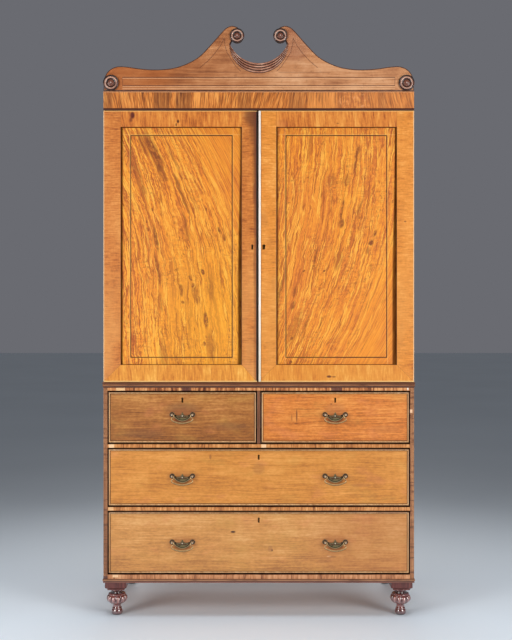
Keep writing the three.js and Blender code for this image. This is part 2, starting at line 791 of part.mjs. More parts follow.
function addPediment() {
  const rightHalf = pedimentRightHalf();
  const outline = [...rightHalf, ...mirrored(rightHalf).slice(1)];
  const board = solidOf(frontPlate(outline, -pedimentProud, pedimentThickness - pedimentProud));
  add('pediment', board.add(crescentSolid()), pedimentWood());
  const scroll = roundel(scrollRadius);
  const corner = roundel(cornerRadius);
  for (const [name, side] of [['left', -1], ['right', 1]]) {
    const front = -pedimentProud;
    const scrollPlace = [side * scrollOffset, front, scrollMiddle];
    const cornerPlace = [side * (half - cornerInset), front, pedimentFoot + cornerRise];
    add('roundel_scroll_' + name, scroll, mahogany()).position.set(...scrollPlace);
    add('roundel_corner_' + name, corner, mahogany()).position.set(...cornerPlace);
    addBracket(name, side);
  }
}

// Bracket that holds the pediment upright from behind
function addBracket(name, side) {
  const y0 = pedimentThickness - pedimentProud + seat;
  const foot = Math.max(y0, caseFront);
  const profile = [
    vector(y0, pedimentFoot),
    vector(foot + bracketDepth, pedimentFoot),
    vector(foot + bracketDepth, pedimentFoot + bracketThickness),
    vector(y0 + bracketThickness, pedimentFoot + bracketHeight),
    vector(y0, pedimentFoot + bracketHeight),
  ];
  const middle = side * bracketPlaceShare * half;
  const wide = bracketThickness / 2;
  add('pediment_bracket_' + name, crossBar(profile, middle - wide, middle + wide), pine());
}

addFeet();
addBaseMoulding();
addChestBoards();
addDrawers();
addCupboardBoards();
addHinges();
addDoors();
addTrays();
addPediment();

export default press;
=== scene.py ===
"""Looks of the linen press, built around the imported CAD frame. Metres, +Z up, the front faces -Y."""

import math

import bpy
from mathutils import Matrix, Vector


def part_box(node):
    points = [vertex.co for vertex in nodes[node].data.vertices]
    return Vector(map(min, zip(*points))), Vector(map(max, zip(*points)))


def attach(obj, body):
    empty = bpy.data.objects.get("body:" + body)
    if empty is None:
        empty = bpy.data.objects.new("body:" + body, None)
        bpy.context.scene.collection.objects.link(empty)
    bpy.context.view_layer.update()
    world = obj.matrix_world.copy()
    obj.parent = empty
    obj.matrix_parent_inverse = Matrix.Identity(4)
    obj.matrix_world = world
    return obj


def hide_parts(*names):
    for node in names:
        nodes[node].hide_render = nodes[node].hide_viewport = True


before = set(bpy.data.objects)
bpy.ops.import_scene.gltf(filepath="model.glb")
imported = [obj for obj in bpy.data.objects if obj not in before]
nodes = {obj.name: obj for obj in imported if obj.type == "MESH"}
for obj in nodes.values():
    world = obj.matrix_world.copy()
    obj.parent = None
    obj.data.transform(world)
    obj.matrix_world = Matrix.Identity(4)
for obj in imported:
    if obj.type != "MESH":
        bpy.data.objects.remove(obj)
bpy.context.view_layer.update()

MM = 0.001
SEAT = 0.3 * MM


def low(node):
    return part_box(node)[0]


def high(node):
    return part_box(node)[1]


FRONT = low("door_left_frame").y  # the plane of the door and drawer fronts
REBATE = 7 * MM  # how far a door panel runs in behind its frame
KEYHOLE_INSET = 19 * MM  # from a door's meeting edge
KEYHOLE_SHARE = 0.497  # of a door's height
KEYHOLE_DROP = 22 * MM  # from the top of a drawer front to the top of its keyhole
KEYHOLE_EYE = 3.6 * MM  # radius of the round part
KEYHOLE_HALF = 2.0 * MM  # half the width of the slot
KEYHOLE_TALL = 19.0 * MM
BEAD_WIDE = 5.5 * MM  # a drawer's cock bead
BEAD_PROUD = 3 * MM
BEAD_DEEP = 20 * MM
LINE_WIDE = 2.2 * MM  # the dark line inside the bead
LINE_DEEP = 1.4 * MM
PLATE_THICK = 1.8 * MM
POST_OFFSET = 40 * MM  # from the middle of a handle
POST_LONG = 19.4  # millimetres
BAIL_AXIS = 14.8 * MM  # the pins stand this far in front of the drawer
BAIL_DROP = 33  # millimetres from the pins down to the lowest point of the bow
PEDIMENT_THICK = 22 * MM
PEDIMENT_PROUD = 2 * MM
OPENING_RADIUS = 122 * MM  # the round opening of the pediment
OPENING_MIDDLE = 232 * MM  # over the pediment's foot
CRESCENT_RADIUS = 116 * MM  # the outer edge of the reeds
CRESCENT_MIDDLE = 186 * MM  # over the pediment's foot
HORN = 184 * MM  # the reeds' points, over the pediment's foot
SCROLL_MIDDLE = 217 * MM  # over the pediment's foot
SCROLL_PLACE = 85 * MM  # from the middle of the front
SCROLL_RADIUS = 25.5 * MM
LAY_FORWARD = Matrix.Rotation(math.radians(90), 3, "X")  # turns what stands up to point out of the front


# Shader values


class Value:
    """A number in a material that takes part in sums."""

    def __init__(self, graph, socket):
        self.graph = graph
        self.socket = socket

    def __add__(self, other):
        return self.graph.math("ADD", self, other)

    __radd__ = __add__

    def __sub__(self, other):
        return self.graph.math("SUBTRACT", self, other)

    def __rsub__(self, other):
        return self.graph.math("SUBTRACT", other, self)

    def __mul__(self, other):
        return self.graph.math("MULTIPLY", self, other)

    __rmul__ = __mul__

    def __truediv__(self, other):
        return self.graph.math("DIVIDE", self, other)

    def size(self):
        return self.graph.math("ABSOLUTE", self)

    def least(self, other):
        return self.graph.math("MINIMUM", self, other)

    def most(self, other):
        return self.graph.math("MAXIMUM", self, other)

    def ease(self, start, end):
        """0 before start, 1 after end, and smooth between them. start may be the larger one."""
        return self.graph.ease(self, start, end)

    def near(self, middle, half, soft):
        """1 within half of middle, falling to 0 over soft."""
        return (self - middle).size().ease(half + soft, half)


class Graph:
    """A node material under construction."""

    def __init__(self, name):
        self.material = bpy.data.materials.new(name)
        self.material.use_nodes = True
        self.tree = self.material.node_tree
        self.tree.nodes.clear()
        place = self.node("ShaderNodeTexCoord").outputs["Object"]
        split = self.node("ShaderNodeSeparateXYZ")
        self.tree.links.new(place, split.inputs[0])
        self.x, self.y, self.z = (Value(self, s) for s in split.outputs)

    def node(self, kind):
        return self.tree.nodes.new(kind)

    def feed(self, socket, value):
        if isinstance(value, Value):
            value = value.socket
        if isinstance(value, bpy.types.NodeSocket):
            self.tree.links.new(value, socket)
        else:
            socket.default_value = value

    def math(self, operation, a, b=0.0):
        node = self.node("ShaderNodeMath")
        node.operation = operation
        self.feed(node.inputs[0], a)
        self.feed(node.inputs[1], b)
        return Value(self, node.outputs[0])

    def ease(self, value, start, end):
        node = self.node("ShaderNodeMapRange")
        node.interpolation_type = "SMOOTHSTEP"
        flip = start > end
        self.feed(node.inputs["Value"], value)
        node.inputs["From Min"].default_value = min(start, end)
        node.inputs["From Max"].default_value = max(start, end)
        node.inputs["To Min"].default_value = 1.0 if flip else 0.0
        node.inputs["To Max"].default_value = 0.0 if flip else 1.0
        return Value(self, node.outputs["Result"])

    def noise(self, x, y, z, seed, detail=2.0, roughness=0.5):
        """Noise from 0 to 1 whose features are about one unit of x, y and z wide."""
        join = self.node("ShaderNodeCombineXYZ")
        for socket, value in zip(join.inputs, (x, y, z)):
            self.feed(socket, value)
        node = self.node("ShaderNodeTexNoise")
        node.noise_dimensions = "4D"
        self.tree.links.new(join.outputs[0], node.inputs["Vector"])
        node.inputs["W"].default_value = seed
        node.inputs["Scale"].default_value = 1.0
        node.inputs["Detail"].default_value = detail
        node.inputs["Roughness"].default_value = roughness
        return Value(self, node.outputs["Fac"])

    def mix(self, share, a, b):
        """Colour a where share is 0, colour b where it is 1."""
        node = self.node("ShaderNodeMix")
        node.data_type = "RGBA"
        self.feed(node.inputs[0], share)
        self.feed(node.inputs[6], a)
        self.feed(node.inputs[7], b)
        return node.outputs[2]

    def ramp(self, value, *stops):
        """Colours along 0 to 1, each stop a place and a colour."""
        node = self.node("ShaderNodeValToRGB")
        self.feed(node.inputs[0], value)
        stripes = node.color_ramp
        while len(stripes.elements) < len(stops):
            stripes.elements.new(0.5)
        for element, (place, colour) in zip(stripes.elements, stops):
            element.position = place
            element.color = colour
        return node.outputs[0]

    def tones(self, value, dark, middle, light, turn=0.5):
        """From dark through middle at turn to light."""
        return self.ramp(value, (0.0, dark), (turn, middle), (1.0, light))

    def around(self, x, z, half_wide, half_tall, soft):
        """1 inside a rectangle of the front round (x, z), falling to 0 over soft outside it."""
        return self.x.near(x, half_wide, soft) * self.z.near(z, half_tall, soft)

    def patch(self, colour, patches, soft):
        """Lays tints over rectangles of the front: x0, x1, z0, z1, tint and share."""
        for x0, x1, z0, z1, tint, share in patches:
            shape = self.around((x0 + x1) / 2, (z0 + z1) / 2, abs(x1 - x0) / 2, abs(z1 - z0) / 2, soft)
            colour = self.mix(shape * share, colour, tint)
        return colour

    def blot(self, x, z, wide, high, u=None, v=None):
        """A soft oval round (x, z), in the coordinates u and v if they are given."""
        across = ((self.x if u is None else u) - x) / wide
        up = ((self.z if v is None else v) - z) / high
        return (across * across + up * up).ease(1.0, 0.15)

    def away(self, up):
        """Distance from the piece's own middle on the front, up being the height over it."""
        return self.math("SQRT", self.x * self.x + up * up)

    def openness(self, distance):
        """From 0 deep in a hollow to 1 in the open, looking this far."""
        node = self.node("ShaderNodeAmbientOcclusion")
        node.samples = 8
        node.inputs["Distance"].default_value = distance
        return Value(self, node.outputs["AO"])

    def keyhole(self, x, z, half_wide, half_tall, fade, strength):
        """Painted shade of a keyhole: 1 on its walls, where fade is 1 too, and strength on a patch round it
        that spreads the dark of the opening over its worn edge.
        """
        walls = self.around(x, z, half_wide, half_tall, 1 * MM)
        walls = walls * (self.y - FRONT).ease(0.3 * MM, 0.9 * MM) * fade
        return walls.most(self.around(x, z, 2.6 * MM, 9 * MM, 1.4 * MM) * strength)

    def shade_and_grime(self):
        """1 on surfaces just inside the drawer openings: painted shade of the openings, with the dirt and old
        polish that stay there.
        """
        depth = (self.y - FRONT).ease(0.6 * MM, 2.5 * MM) * (self.y - FRONT).ease(27 * MM, 22 * MM)
        rough = self.noise(self.x * 18.0, 0.0, self.z * 18.0, 77.0, 2.0) * 0.7 + 0.6
        return depth * self.x.size().ease(0.5948, 0.5942) * self.z.ease(0.1560, 0.1575) * rough.least(0.98)

    def done(
        self,
        colour,
        roughness,
        metallic=0.0,
        height=None,
        bump=0.5,
        coat=0.0,
        coat_rough=0.16,
        gloss=1.5,
        matt=None,
    ):
        """Ends the material. gloss is the coat's IOR, matt is 1 where painted shade and dirt take the shine
        away.
        """
        shader = self.node("ShaderNodeBsdfPrincipled")
        self.feed(shader.inputs["Base Color"], colour)
        self.feed(shader.inputs["Roughness"], roughness)
        shader.inputs["Metallic"].default_value = metallic
        shader.inputs["Coat Weight"].default_value = coat
        shader.inputs["Coat Roughness"].default_value = coat_rough
        shader.inputs["Coat IOR"].default_value = gloss
        if matt is not None:
            self.feed(shader.inputs["Specular IOR Level"], (1.0 - matt) * 0.5)
            self.feed(shader.inputs["Coat Weight"], (1.0 - matt) * coat)
        if height is not None:
            node = self.node("ShaderNodeBump")
            node.inputs["Strength"].default_value = bump
            node.inputs["Distance"].default_value = 1.0
            self.feed(node.inputs["Height"], height)
            self.tree.links.new(node.outputs[0], shader.inputs["Normal"])
        out = self.node("ShaderNodeOutputMaterial")
        self.tree.links.new(shader.outputs[0], out.inputs[0])
        return self.material


def paint(red, green, blue):
    """A colour from its screen values of 0 to 255."""
    line = [c / 255 for c in (red, green, blue)]
    return [c / 12.92 if c <= 0.04045 else ((c + 0.055) / 1.055) ** 2.4 for c in line] + [1.0]


# Woods and metals

def blend(*parts):
    """A tone round 0.5 from pairs of a noise and its strength."""
    tone, *others = [(noise - 0.5) * strength for noise, strength in parts]
    for other in others:
        tone = tone + other
    return tone + 0.5


# Painted shade and grime just inside the drawer openings.
SHADE_AND_GRIME = paint(44, 14, 4)
INSIDE = (paint(136, 82, 42), paint(184, 124, 72), paint(216, 160, 106))
# Painted shade inside keyholes.
HOLE_SHADE = paint(12, 5, 2)
# Painted shade along a panel's edges and round the sight of a door frame.
EDGE_SHADE = paint(70, 30, 10)


def fan_lean(share, across):
    """How far the panel's grain has moved sideways at a share of its height and width."""
    return share * share * share * (across * 0.12 + 0.13) + share * 0.07


def burr_marks(g, colour, flow, rope, up, burr, seed):
    """Short dark and pale ticks and fine ladders across the grain, in clouds where the figure is lively."""
    ticks = g.noise(rope * 120.0, 0.0, up * 85.0, seed + 9, 1.0)
    where = g.noise(flow * 16.0, 0.0, up * 8.0, seed + 10, 1.0).ease(0.46, 0.6)
    colour = g.mix(ticks.ease(0.6, 0.7) * where * burr * 0.6, colour, paint(150, 74, 32))
    colour = g.mix(ticks.ease(0.38, 0.3) * where * burr * 0.4, colour, paint(253, 188, 80))
    ladder = g.noise(flow * 30.0, 0.0, up * 170.0, seed + 11, 1.0).ease(0.5, 0.64)
    return g.mix(ladder * where * burr * 0.3, colour, paint(182, 98, 44))


def inlaid_string(side, top, bottom):
    """1 on the upright lines of the string, on its level ones, and on the pale rim outside it.
    side, top and bottom are the distances from the panel's edges."""
    in_side, in_top, in_bottom = 38 * MM, 32 * MM, 29 * MM
    half, soft = 1.6 * MM, 0.5 * MM
    upright = side.size().near(in_side, half, soft)
    upright = upright * top.ease(in_top - 1 * MM, in_top) * bottom.ease(in_bottom - 1 * MM, in_bottom)
    level = top.near(in_top, half, soft).most(bottom.near(in_bottom, half, soft))
    level = level * side.ease(in_side - 1.5 * MM, in_side - 0.5 * MM)
    rim = side.near(34.6 * MM, 1.4 * MM, 0.8 * MM).most(top.near(28.4 * MM, 1.4 * MM, 0.8 * MM))
    return upright, level, rim


def panel_edge_shade(g, left, right_share, top, bottom, seed):
    """Painted shade of the frame along a panel's edges, broken up with noise. right_share is 1 where the right
    one's ends.
    """
    rough = g.noise(g.x * 50.0, 0.0, g.z * 12.0, seed + 12, 2.0)
    shade_and_dirt = left.ease(9 * MM, 3 * MM) * 0.85
    shade_and_dirt = shade_and_dirt.most(right_share.ease(1.25, 0.7) * (0.6 + rough * 0.5))
    return shade_and_dirt.most(top.ease(3 * MM, 1 * MM) * 0.9).most(bottom.ease(2.4 * MM, 0.8 * MM) * 0.8)


def panel_wood(name, box, upside, seed, lively, blots):
    """Figured veneer whose stripes fan out from one lower corner, with an inlaid string near its edge.
    upside turns the fan over, lively is the strength of its fine lines.
    Each blot is a dark place across, up, wide, high and strong."""
    g = Graph(name)
    (x0, _, z0), (x1, back, z1) = box
    wide, tall = x1 - x0, z1 - z0
    up = (z1 - g.z) if upside else (g.z - z0)
    share = up / tall
    across = (g.x - x0) / wide
    plain = (across * 0.95 + share * 0.85).ease(1.15, 1.6)
    burr = 1.0 - plain
    sway = g.noise(g.x * 3.0, 0.0, up * 2.4, seed, 2.0) - 0.5
    flow = g.x + fan_lean(share, across) + sway * 0.05
    wavy = g.noise(flow * 26.0, 0.0, up * 24.0, seed + 1, 3.0, 0.6) - 0.5
    rope = flow + wavy * (burr * 0.02 + 0.004)
    broad = g.noise(rope * 20.0, 0.0, up * 1.1, seed + 2, 3.0, 0.55)
    stripes = g.noise(rope * 62.0, 0.0, up * 3.0, seed + 3, 2.0, 0.5)
    threads = g.noise(rope * 150.0, 0.0, up * 6.0, seed + 4, 2.0, 0.6)
    hairs = g.noise(rope * 260.0, 0.0, up * 13.0, seed + 8, 2.0, 0.6)
    pores = g.noise(rope * 1100.0, 0.0, up * 60.0, seed + 5, 1.0)
    mottle = g.noise(rope * 130.0, 0.0, up * 80.0, seed + 6, 2.0, 0.6)
    fine = (threads - 0.5) * 1.75 + (hairs - 0.5) * 2.15 + (mottle - 0.5) * (0.5 + burr * 0.8)
    figure = (broad - 0.5) * 0.7 + (stripes - 0.5) * 0.6 + fine * lively
    tone = figure * (1.0 - plain * 0.5) + 0.5 + plain * 0.03
    colour = g.ramp(
        tone,
        (0.0, paint(166, 80, 28)),
        (0.28, paint(208, 115, 44)),
        (0.5, paint(232, 138, 44)),
        (0.74, paint(244, 157, 48)),
        (1.0, paint(252, 182, 72)),
    )
    warmth = g.noise(g.x * 2.6, 0.0, g.z * 2.0, seed + 7, 2.0)
    colour = g.mix(warmth.ease(0.4, 0.68) * 0.4, colour, paint(224, 128, 54))
    golden = g.z.ease(z0 + tall * 0.75, z0 + tall * 0.2) * across.ease(0.1, 0.6) * (0.0 if upside else 0.55)
    colour = g.mix(golden, colour, paint(244, 168, 44))
    border = (stripes - 0.55).size().ease(0.024, 0.004) * (0.3 + burr * 0.7)
    colour = g.mix(border * 0.76, colour, paint(253, 186, 74))
    shadow = (stripes - 0.505).size().ease(0.024, 0.0) * (0.35 + burr * 0.65)
    colour = g.mix(shadow * 0.74, colour, paint(160, 78, 30))
    colour = burr_marks(g, colour, flow, rope, up, burr, seed)
    for x, z, width, height, strength in blots:
        rise = (z1 - z) if upside else (z - z0)
        place = x + fan_lean(rise / tall, (x - x0) / wide)
        spot = g.blot(place, rise, width, height, rope - sway * 0.05, up)
        speck = mottle.ease(0.38, 0.56) * 0.65 + 0.45
        colour = g.mix(spot * strength * speck, colour, paint(134, 68, 30))
    left, right = g.x - (x0 + REBATE), (x1 - REBATE) - g.x
    top, bottom = (z1 - REBATE) - g.z, g.z - (z0 + REBATE)
    string, level, rim = inlaid_string(left.least(right), top, bottom)
    colour = g.mix(rim * 0.3, colour, paint(252, 196, 110))
    greener = g.x.ease(x0 + wide * 0.6, x0 + wide * 0.3)
    colour = g.mix(string.most(level), colour, g.mix(greener, paint(50, 22, 6), paint(88, 60, 14)))
    # Painted shade cast by the frame on the panel's edges; on the right it widens towards the foot.
    reach = g.z.ease(z0 + tall, z0 + tall * 0.3) * 11.0 * MM + 5.0 * MM
    shade_and_dirt = panel_edge_shade(g, left, right / reach, top, bottom, seed)
    colour = g.mix(shade_and_dirt, colour, EDGE_SHADE)
    inside = g.y.ease(back - 3 * MM, back - 1.5 * MM)
    grain = g.noise(g.x * 80.0 + sway * 3.0, 0.0, g.z * 1.6, seed + 13, 3.0, 0.6)
    lining = g.tones(blend((grain, 1.6), (hairs, 0.3), (warmth, 0.8)), *INSIDE)
    colour = g.mix(inside, colour, lining)
    shade_and_dirt = shade_and_dirt * (1.0 - inside)
    height = (pores + threads * 0.6 - string * 1.2) * 0.00004
    return g.done(colour, 0.36 + (1.0 - tone) * 0.06, height=height, coat=0.15, matt=shade_and_dirt)


def rails_and_joints(g, box, sight):
    """1 on the rails of a door, and 1 along their joints, mitred at the foot and upright at the head."""
    (x0, _, z0), (x1, _, _) = box
    left, right, foot, head = sight
    rail = g.x.ease(left - 0.3 * MM, left + 0.3 * MM) * g.x.ease(right + 0.3 * MM, right - 0.3 * MM)
    down = foot - g.z
    left_mitre = down * ((left - x0) / (foot - z0)) - left + g.x
    right_mitre = down * ((x1 - right) / (foot - z0)) + right - g.x
    mitre = left_mitre.least(right_mitre)
    below = down.ease(-0.3 * MM, 0.3 * MM)
    rail = rail * (1.0 - below) + mitre.ease(-0.3 * MM, 0.3 * MM) * below
    joint = ((g.x - left).size().least((g.x - right).size())).ease(1.1 * MM, 0.3 * MM)
    joint = joint * (g.z - head).ease(-0.2 * MM, 0.2 * MM) + mitre.size().ease(1.3 * MM, 0.3 * MM) * below
    return rail, joint


def door_edges(g, colour, box, outer, seed):
    """The pale lips of a door; on the left-hand one, painted shade by its meeting edge, broken up with noise,
    and a near-black painted shadow in the gap along that edge.
    """
    (x0, _, z0), (x1, _, z1) = box
    side, meeting = (g.x - x0, x1 - g.x) if outer < 0 else (x1 - g.x, g.x - x0)
    # Painted shade by the left-hand door's meeting edge.
    if outer < 0:
        patchy = g.noise(g.x * 20.0, 0.0, g.z * 14.0, seed + 10, 3.0, 0.65)
        shade = (meeting + (patchy - 0.5) * 16 * MM).ease(17 * MM, 7 * MM) * (0.45 + g.z.ease(1.0, 1.9) * 0.4)
        colour = g.mix(shade, colour, paint(112, 58, 34))
        # A near-black painted shadow in the gap along the meeting edge.
        colour = g.mix(meeting.ease(5.0 * MM, 3.0 * MM) * 0.9, colour, paint(34, 13, 8))
    lip_noise = 0.7 + g.noise(0.0, 0.0, g.z * 40.0, seed + 8, 2.0) * 0.5
    colour = g.mix(side.ease(3.6 * MM, 2.6 * MM) * lip_noise * 0.8, colour, paint(242, 200, 150))
    colour = g.mix((z1 - g.z).ease(4.0 * MM, 2.8 * MM) * 0.75, colour, paint(242, 188, 118))
    return g.mix((g.z - z0).ease(4.8 * MM, 3.4 * MM) * 0.95, colour, paint(255, 210, 134))


def door_wood(name, box, sight, seed, tones, outer, stain):
    """Door frame: stiles banded across, rails with upright grain, a pale lip on the outside.
    tones are the stile's colours from dark to light, outer is the side of its hinges."""
    g = Graph(name)
    (x0, _, z0), (x1, back, z1) = box
    left, right, foot, head = sight
    inside = g.y.ease(back - 6 * MM, back - 3 * MM)
    rail, joint = rails_and_joints(g, box, sight)
    sway = g.noise(g.x * 5.0, 0.0, g.z * 5.0, seed, 2.0) - 0.5
    across = g.z + sway * 0.02
    ripple = g.noise(g.x * 14.0, 0.0, across * 44.0, seed + 1, 3.0, 0.65)
    lines = g.noise(g.x * 24.0, 0.0, across * 210.0, seed + 2, 2.0, 0.6)
    cloud = g.noise(g.x * 7.0, 0.0, g.z * 3.4, seed + 3, 3.0, 0.6)
    flecks = g.noise(g.x * 110.0, 0.0, g.z * 110.0, seed + 9, 2.0, 0.6)
    stile_tone = blend((ripple, 1.0), (lines, 1.5), (cloud, 1.2), (flecks, 0.7))
    stile = g.ramp(stile_tone, *zip((0.0, 0.35, 0.62, 1.0), tones))
    upright = g.x + sway * 0.012 + g.z * 0.06
    streaks = g.noise(upright * 50.0, 0.0, g.z * 8.0, seed + 4, 3.0, 0.6)
    threads = g.noise(upright * 190.0, 0.0, g.z * 22.0, seed + 5, 2.0)
    rail_tone = blend((streaks, 1.9), (threads, 1.5), (cloud, 0.8), (flecks, 0.5))
    steps = (0.0, 0.42, 0.7, 1.0)
    tops = (paint(160, 78, 28), paint(210, 122, 48), paint(226, 142, 58), paint(238, 166, 80))
    feet = (paint(198, 114, 38), paint(225, 146, 54), paint(236, 164, 66), paint(250, 192, 100))
    top = g.ramp(rail_tone, *zip(steps, tops))
    bottom = g.ramp(rail_tone, *zip(steps, feet))
    if outer > 0:
        bottom = g.mix(0.35, bottom, paint(212, 124, 46))
    high_rail = g.z.ease((z0 + z1) / 2 - 0.1, (z0 + z1) / 2 + 0.1)
    colour = g.mix(rail, stile, g.mix(high_rail, bottom, top))
    paler = g.z.ease(z0 + 0.75, z0 + 0.1) * (1.0 - rail) * cloud.ease(0.3, 0.6)
    colour = g.mix(paler * 0.5, colour, paint(226, 160, 90) if outer < 0 else paint(216, 146, 70))
    colour = g.mix(joint * 0.42, colour, paint(120, 62, 26))
    # A thin painted shade line round the sight edge of the frame.
    off = (left - g.x).most(g.x - right).most(foot - g.z).most(g.z - head)
    colour = g.mix(off.ease(1.1 * MM, 0.2 * MM) * 0.9, colour, EDGE_SHADE)
    dull = g.noise(g.x * 13.0, 0.0, g.z * 8.0, seed + 6, 3.0).ease(0.55, 0.72)
    colour = g.mix(dull * (1.0 - rail) * 0.35, colour, paint(178, 110, 54))
    for x, z, wide, tall, tint, strength in stain:
        colour = g.mix(g.blot(x, z, wide, tall) * strength * cloud.ease(0.2, 0.5), colour, tint)
    keyhole_x = x1 - KEYHOLE_INSET if outer < 0 else x0 + KEYHOLE_INSET
    keyhole_z = z0 + (z1 - z0) * KEYHOLE_SHARE
    # Painted shade in the keyhole and round it.
    hole_shade = g.keyhole(keyhole_x, keyhole_z, 6 * MM, 22 * MM, (back - g.y).ease(0.5 * MM, 1.1 * MM), 0.94)
    colour = g.mix(hole_shade, colour, HOLE_SHADE)
    colour = door_edges(g, colour, box, outer, seed)
    plain = g.mix(rail, g.tones(rail_tone, *INSIDE), g.tones(stile_tone, *INSIDE))
    colour = g.mix(inside * (1.0 - hole_shade), colour, plain)
    height = (lines + threads * 0.5) * 0.00003 - joint * 0.00006
    return g.done(colour, 0.38 + cloud * 0.06, height=height, coat=0.15, matt=hole_shade)


def drawer_wood(name, box, seed, tones, blots=(), fade=0.0, lively=1.0):
    """Veneer with level grain. tones are its dark, middle and light colours.
    fade is how much lighter it gets towards its top, lively is the strength of its lines."""
    g = Graph(name)
    (x0, _, z0), (x1, back, z1) = box
    dark, middle, light = tones
    sway = g.noise(g.x * 1.6, 0.0, g.z * 7.0, seed, 2.0) - 0.5
    level = g.z + sway * 0.04
    broad = g.noise(g.x * 1.6, 0.0, level * 22.0, seed + 1, 3.0, 0.6)
    lines = g.noise(g.x * 3.4, 0.0, level * 110.0, seed + 2, 3.0, 0.65)
    threads = g.noise(g.x * 9.0, 0.0, level * 240.0, seed + 3, 2.0, 0.6)
    cloud = g.noise(g.x * 8.0, 0.0, g.z * 12.0, seed + 4, 4.0, 0.65)
    flecks = g.noise(g.x * 60.0, 0.0, g.z * 130.0, seed + 5, 2.0, 0.6)
    fine = (lines, 0.8 * lively), (threads, 1.0 * lively), (cloud, 1.1), (flecks, 0.8 * lively)
    tone = blend((broad, 0.6), *fine) + (g.z - z0) / (z1 - z0) * fade - fade / 2
    colour = g.tones(tone, dark, middle, light)
    green = g.noise(g.x * 6.0, 0.0, g.z * 12.0, seed + 6, 3.0, 0.6)
    colour = g.mix(green.ease(0.52, 0.68) * 0.22, colour, paint(190, 146, 66))
    colour = g.mix(green.ease(0.46, 0.32) * 0.25, colour, paint(214, 128, 84))
    colour = g.mix(flecks.ease(0.62, 0.72) * lines.ease(0.54, 0.42) * 0.4, colour, dark)
    colour = g.mix(flecks.ease(0.38, 0.3) * 0.16, colour, light)
    slit_z = z1 - KEYHOLE_DROP - KEYHOLE_TALL / 2
    # Painted shade in the keyhole and round it.
    hole_shade = g.keyhole((x0 + x1) / 2, slit_z, 5 * MM, 12 * MM, (back - g.y).ease(0.2 * MM, 1.0 * MM), 0.9)
    for x, z, wide, tall, tint, strength in blots:
        colour = g.mix(g.blot(x, z, wide, tall) * strength, colour, tint)
    rim = (g.x - x0).least(x1 - g.x).least(g.z - z0).least(z1 - g.z)
    colour = g.mix(rim.ease(20 * MM, 7 * MM) * cloud.ease(0.3, 0.6) * 0.25, colour, dark)
    colour = g.mix(hole_shade, colour, HOLE_SHADE)
    height = (threads + lines * 0.5) * 0.00003
    return g.done(colour, 0.42 + cloud * 0.08, height=height, coat=0.12, matt=hole_shade)


def band_wood(name, seed, dark, middle, light, fan=None, patches=(), strength=1.0, edges=()):
    """Crossbanding: short upright grain in strongly marked stripes. Painted shade and grime darken it just
    inside the openings and along its edges, each of them a height and the width of the painted shade there in
    millimetres.
    fan is the height about which the stripes lean outwards at both ends and inwards between."""
    g = Graph(name)
    upright = g.x + (g.noise(g.x * 6.0, 0.0, g.z * 12.0, seed, 2.0) - 0.5) * 0.018
    if fan is not None:
        lean = (g.x.size() - 0.3) * 0.8 + (g.noise(g.x * 5.0, 0.0, 0.0, seed + 5, 1.0) - 0.5) * 0.8
        upright = upright + (g.z - fan) * lean
    stripes = g.noise(upright * 30.0, 0.0, g.z * 5.0, seed + 1, 3.0, 0.6)
    narrow = g.noise(upright * 105.0, 0.0, g.z * 9.0, seed + 2, 3.0, 0.6)
    threads = g.noise(upright * 260.0, 0.0, g.z * 24.0, seed + 3, 2.0)
    tone = ((stripes - 0.5) * 1.7 + (narrow - 0.5) * 1.7) * strength + (threads - 0.5) * 1.2 + 0.5
    colour = g.tones(tone, dark, middle, light, 0.45)
    colour = g.patch(colour, patches, 1.5 * MM)
    patchy = g.noise(g.x * 9.0, 0.0, 0.0, seed + 6, 3.0, 0.6)
    # Painted shade and grime inside the openings, and painted shade along the edges of the rails.
    shade_and_dirt = g.shade_and_grime()
    for edge, wide in edges:
        reach = (0.25 + patchy * 1.5) * (wide * MM)
        shade_and_dirt = shade_and_dirt.most(((g.z - edge).size() - reach).ease(0.5 * MM, -0.4 * MM) * 0.96)
    colour = g.mix(shade_and_dirt, colour, SHADE_AND_GRIME)
    height = (threads + narrow * 0.5) * 0.00003
    return g, colour, height, shade_and_dirt


def plain_band(name, seed, dark, middle, light, **more):
    g, colour, height, shade_and_dirt = band_wood(name, seed, dark, middle, light, **more)
    return g.done(colour, 0.4, height=height, coat=0.2, matt=shade_and_dirt)


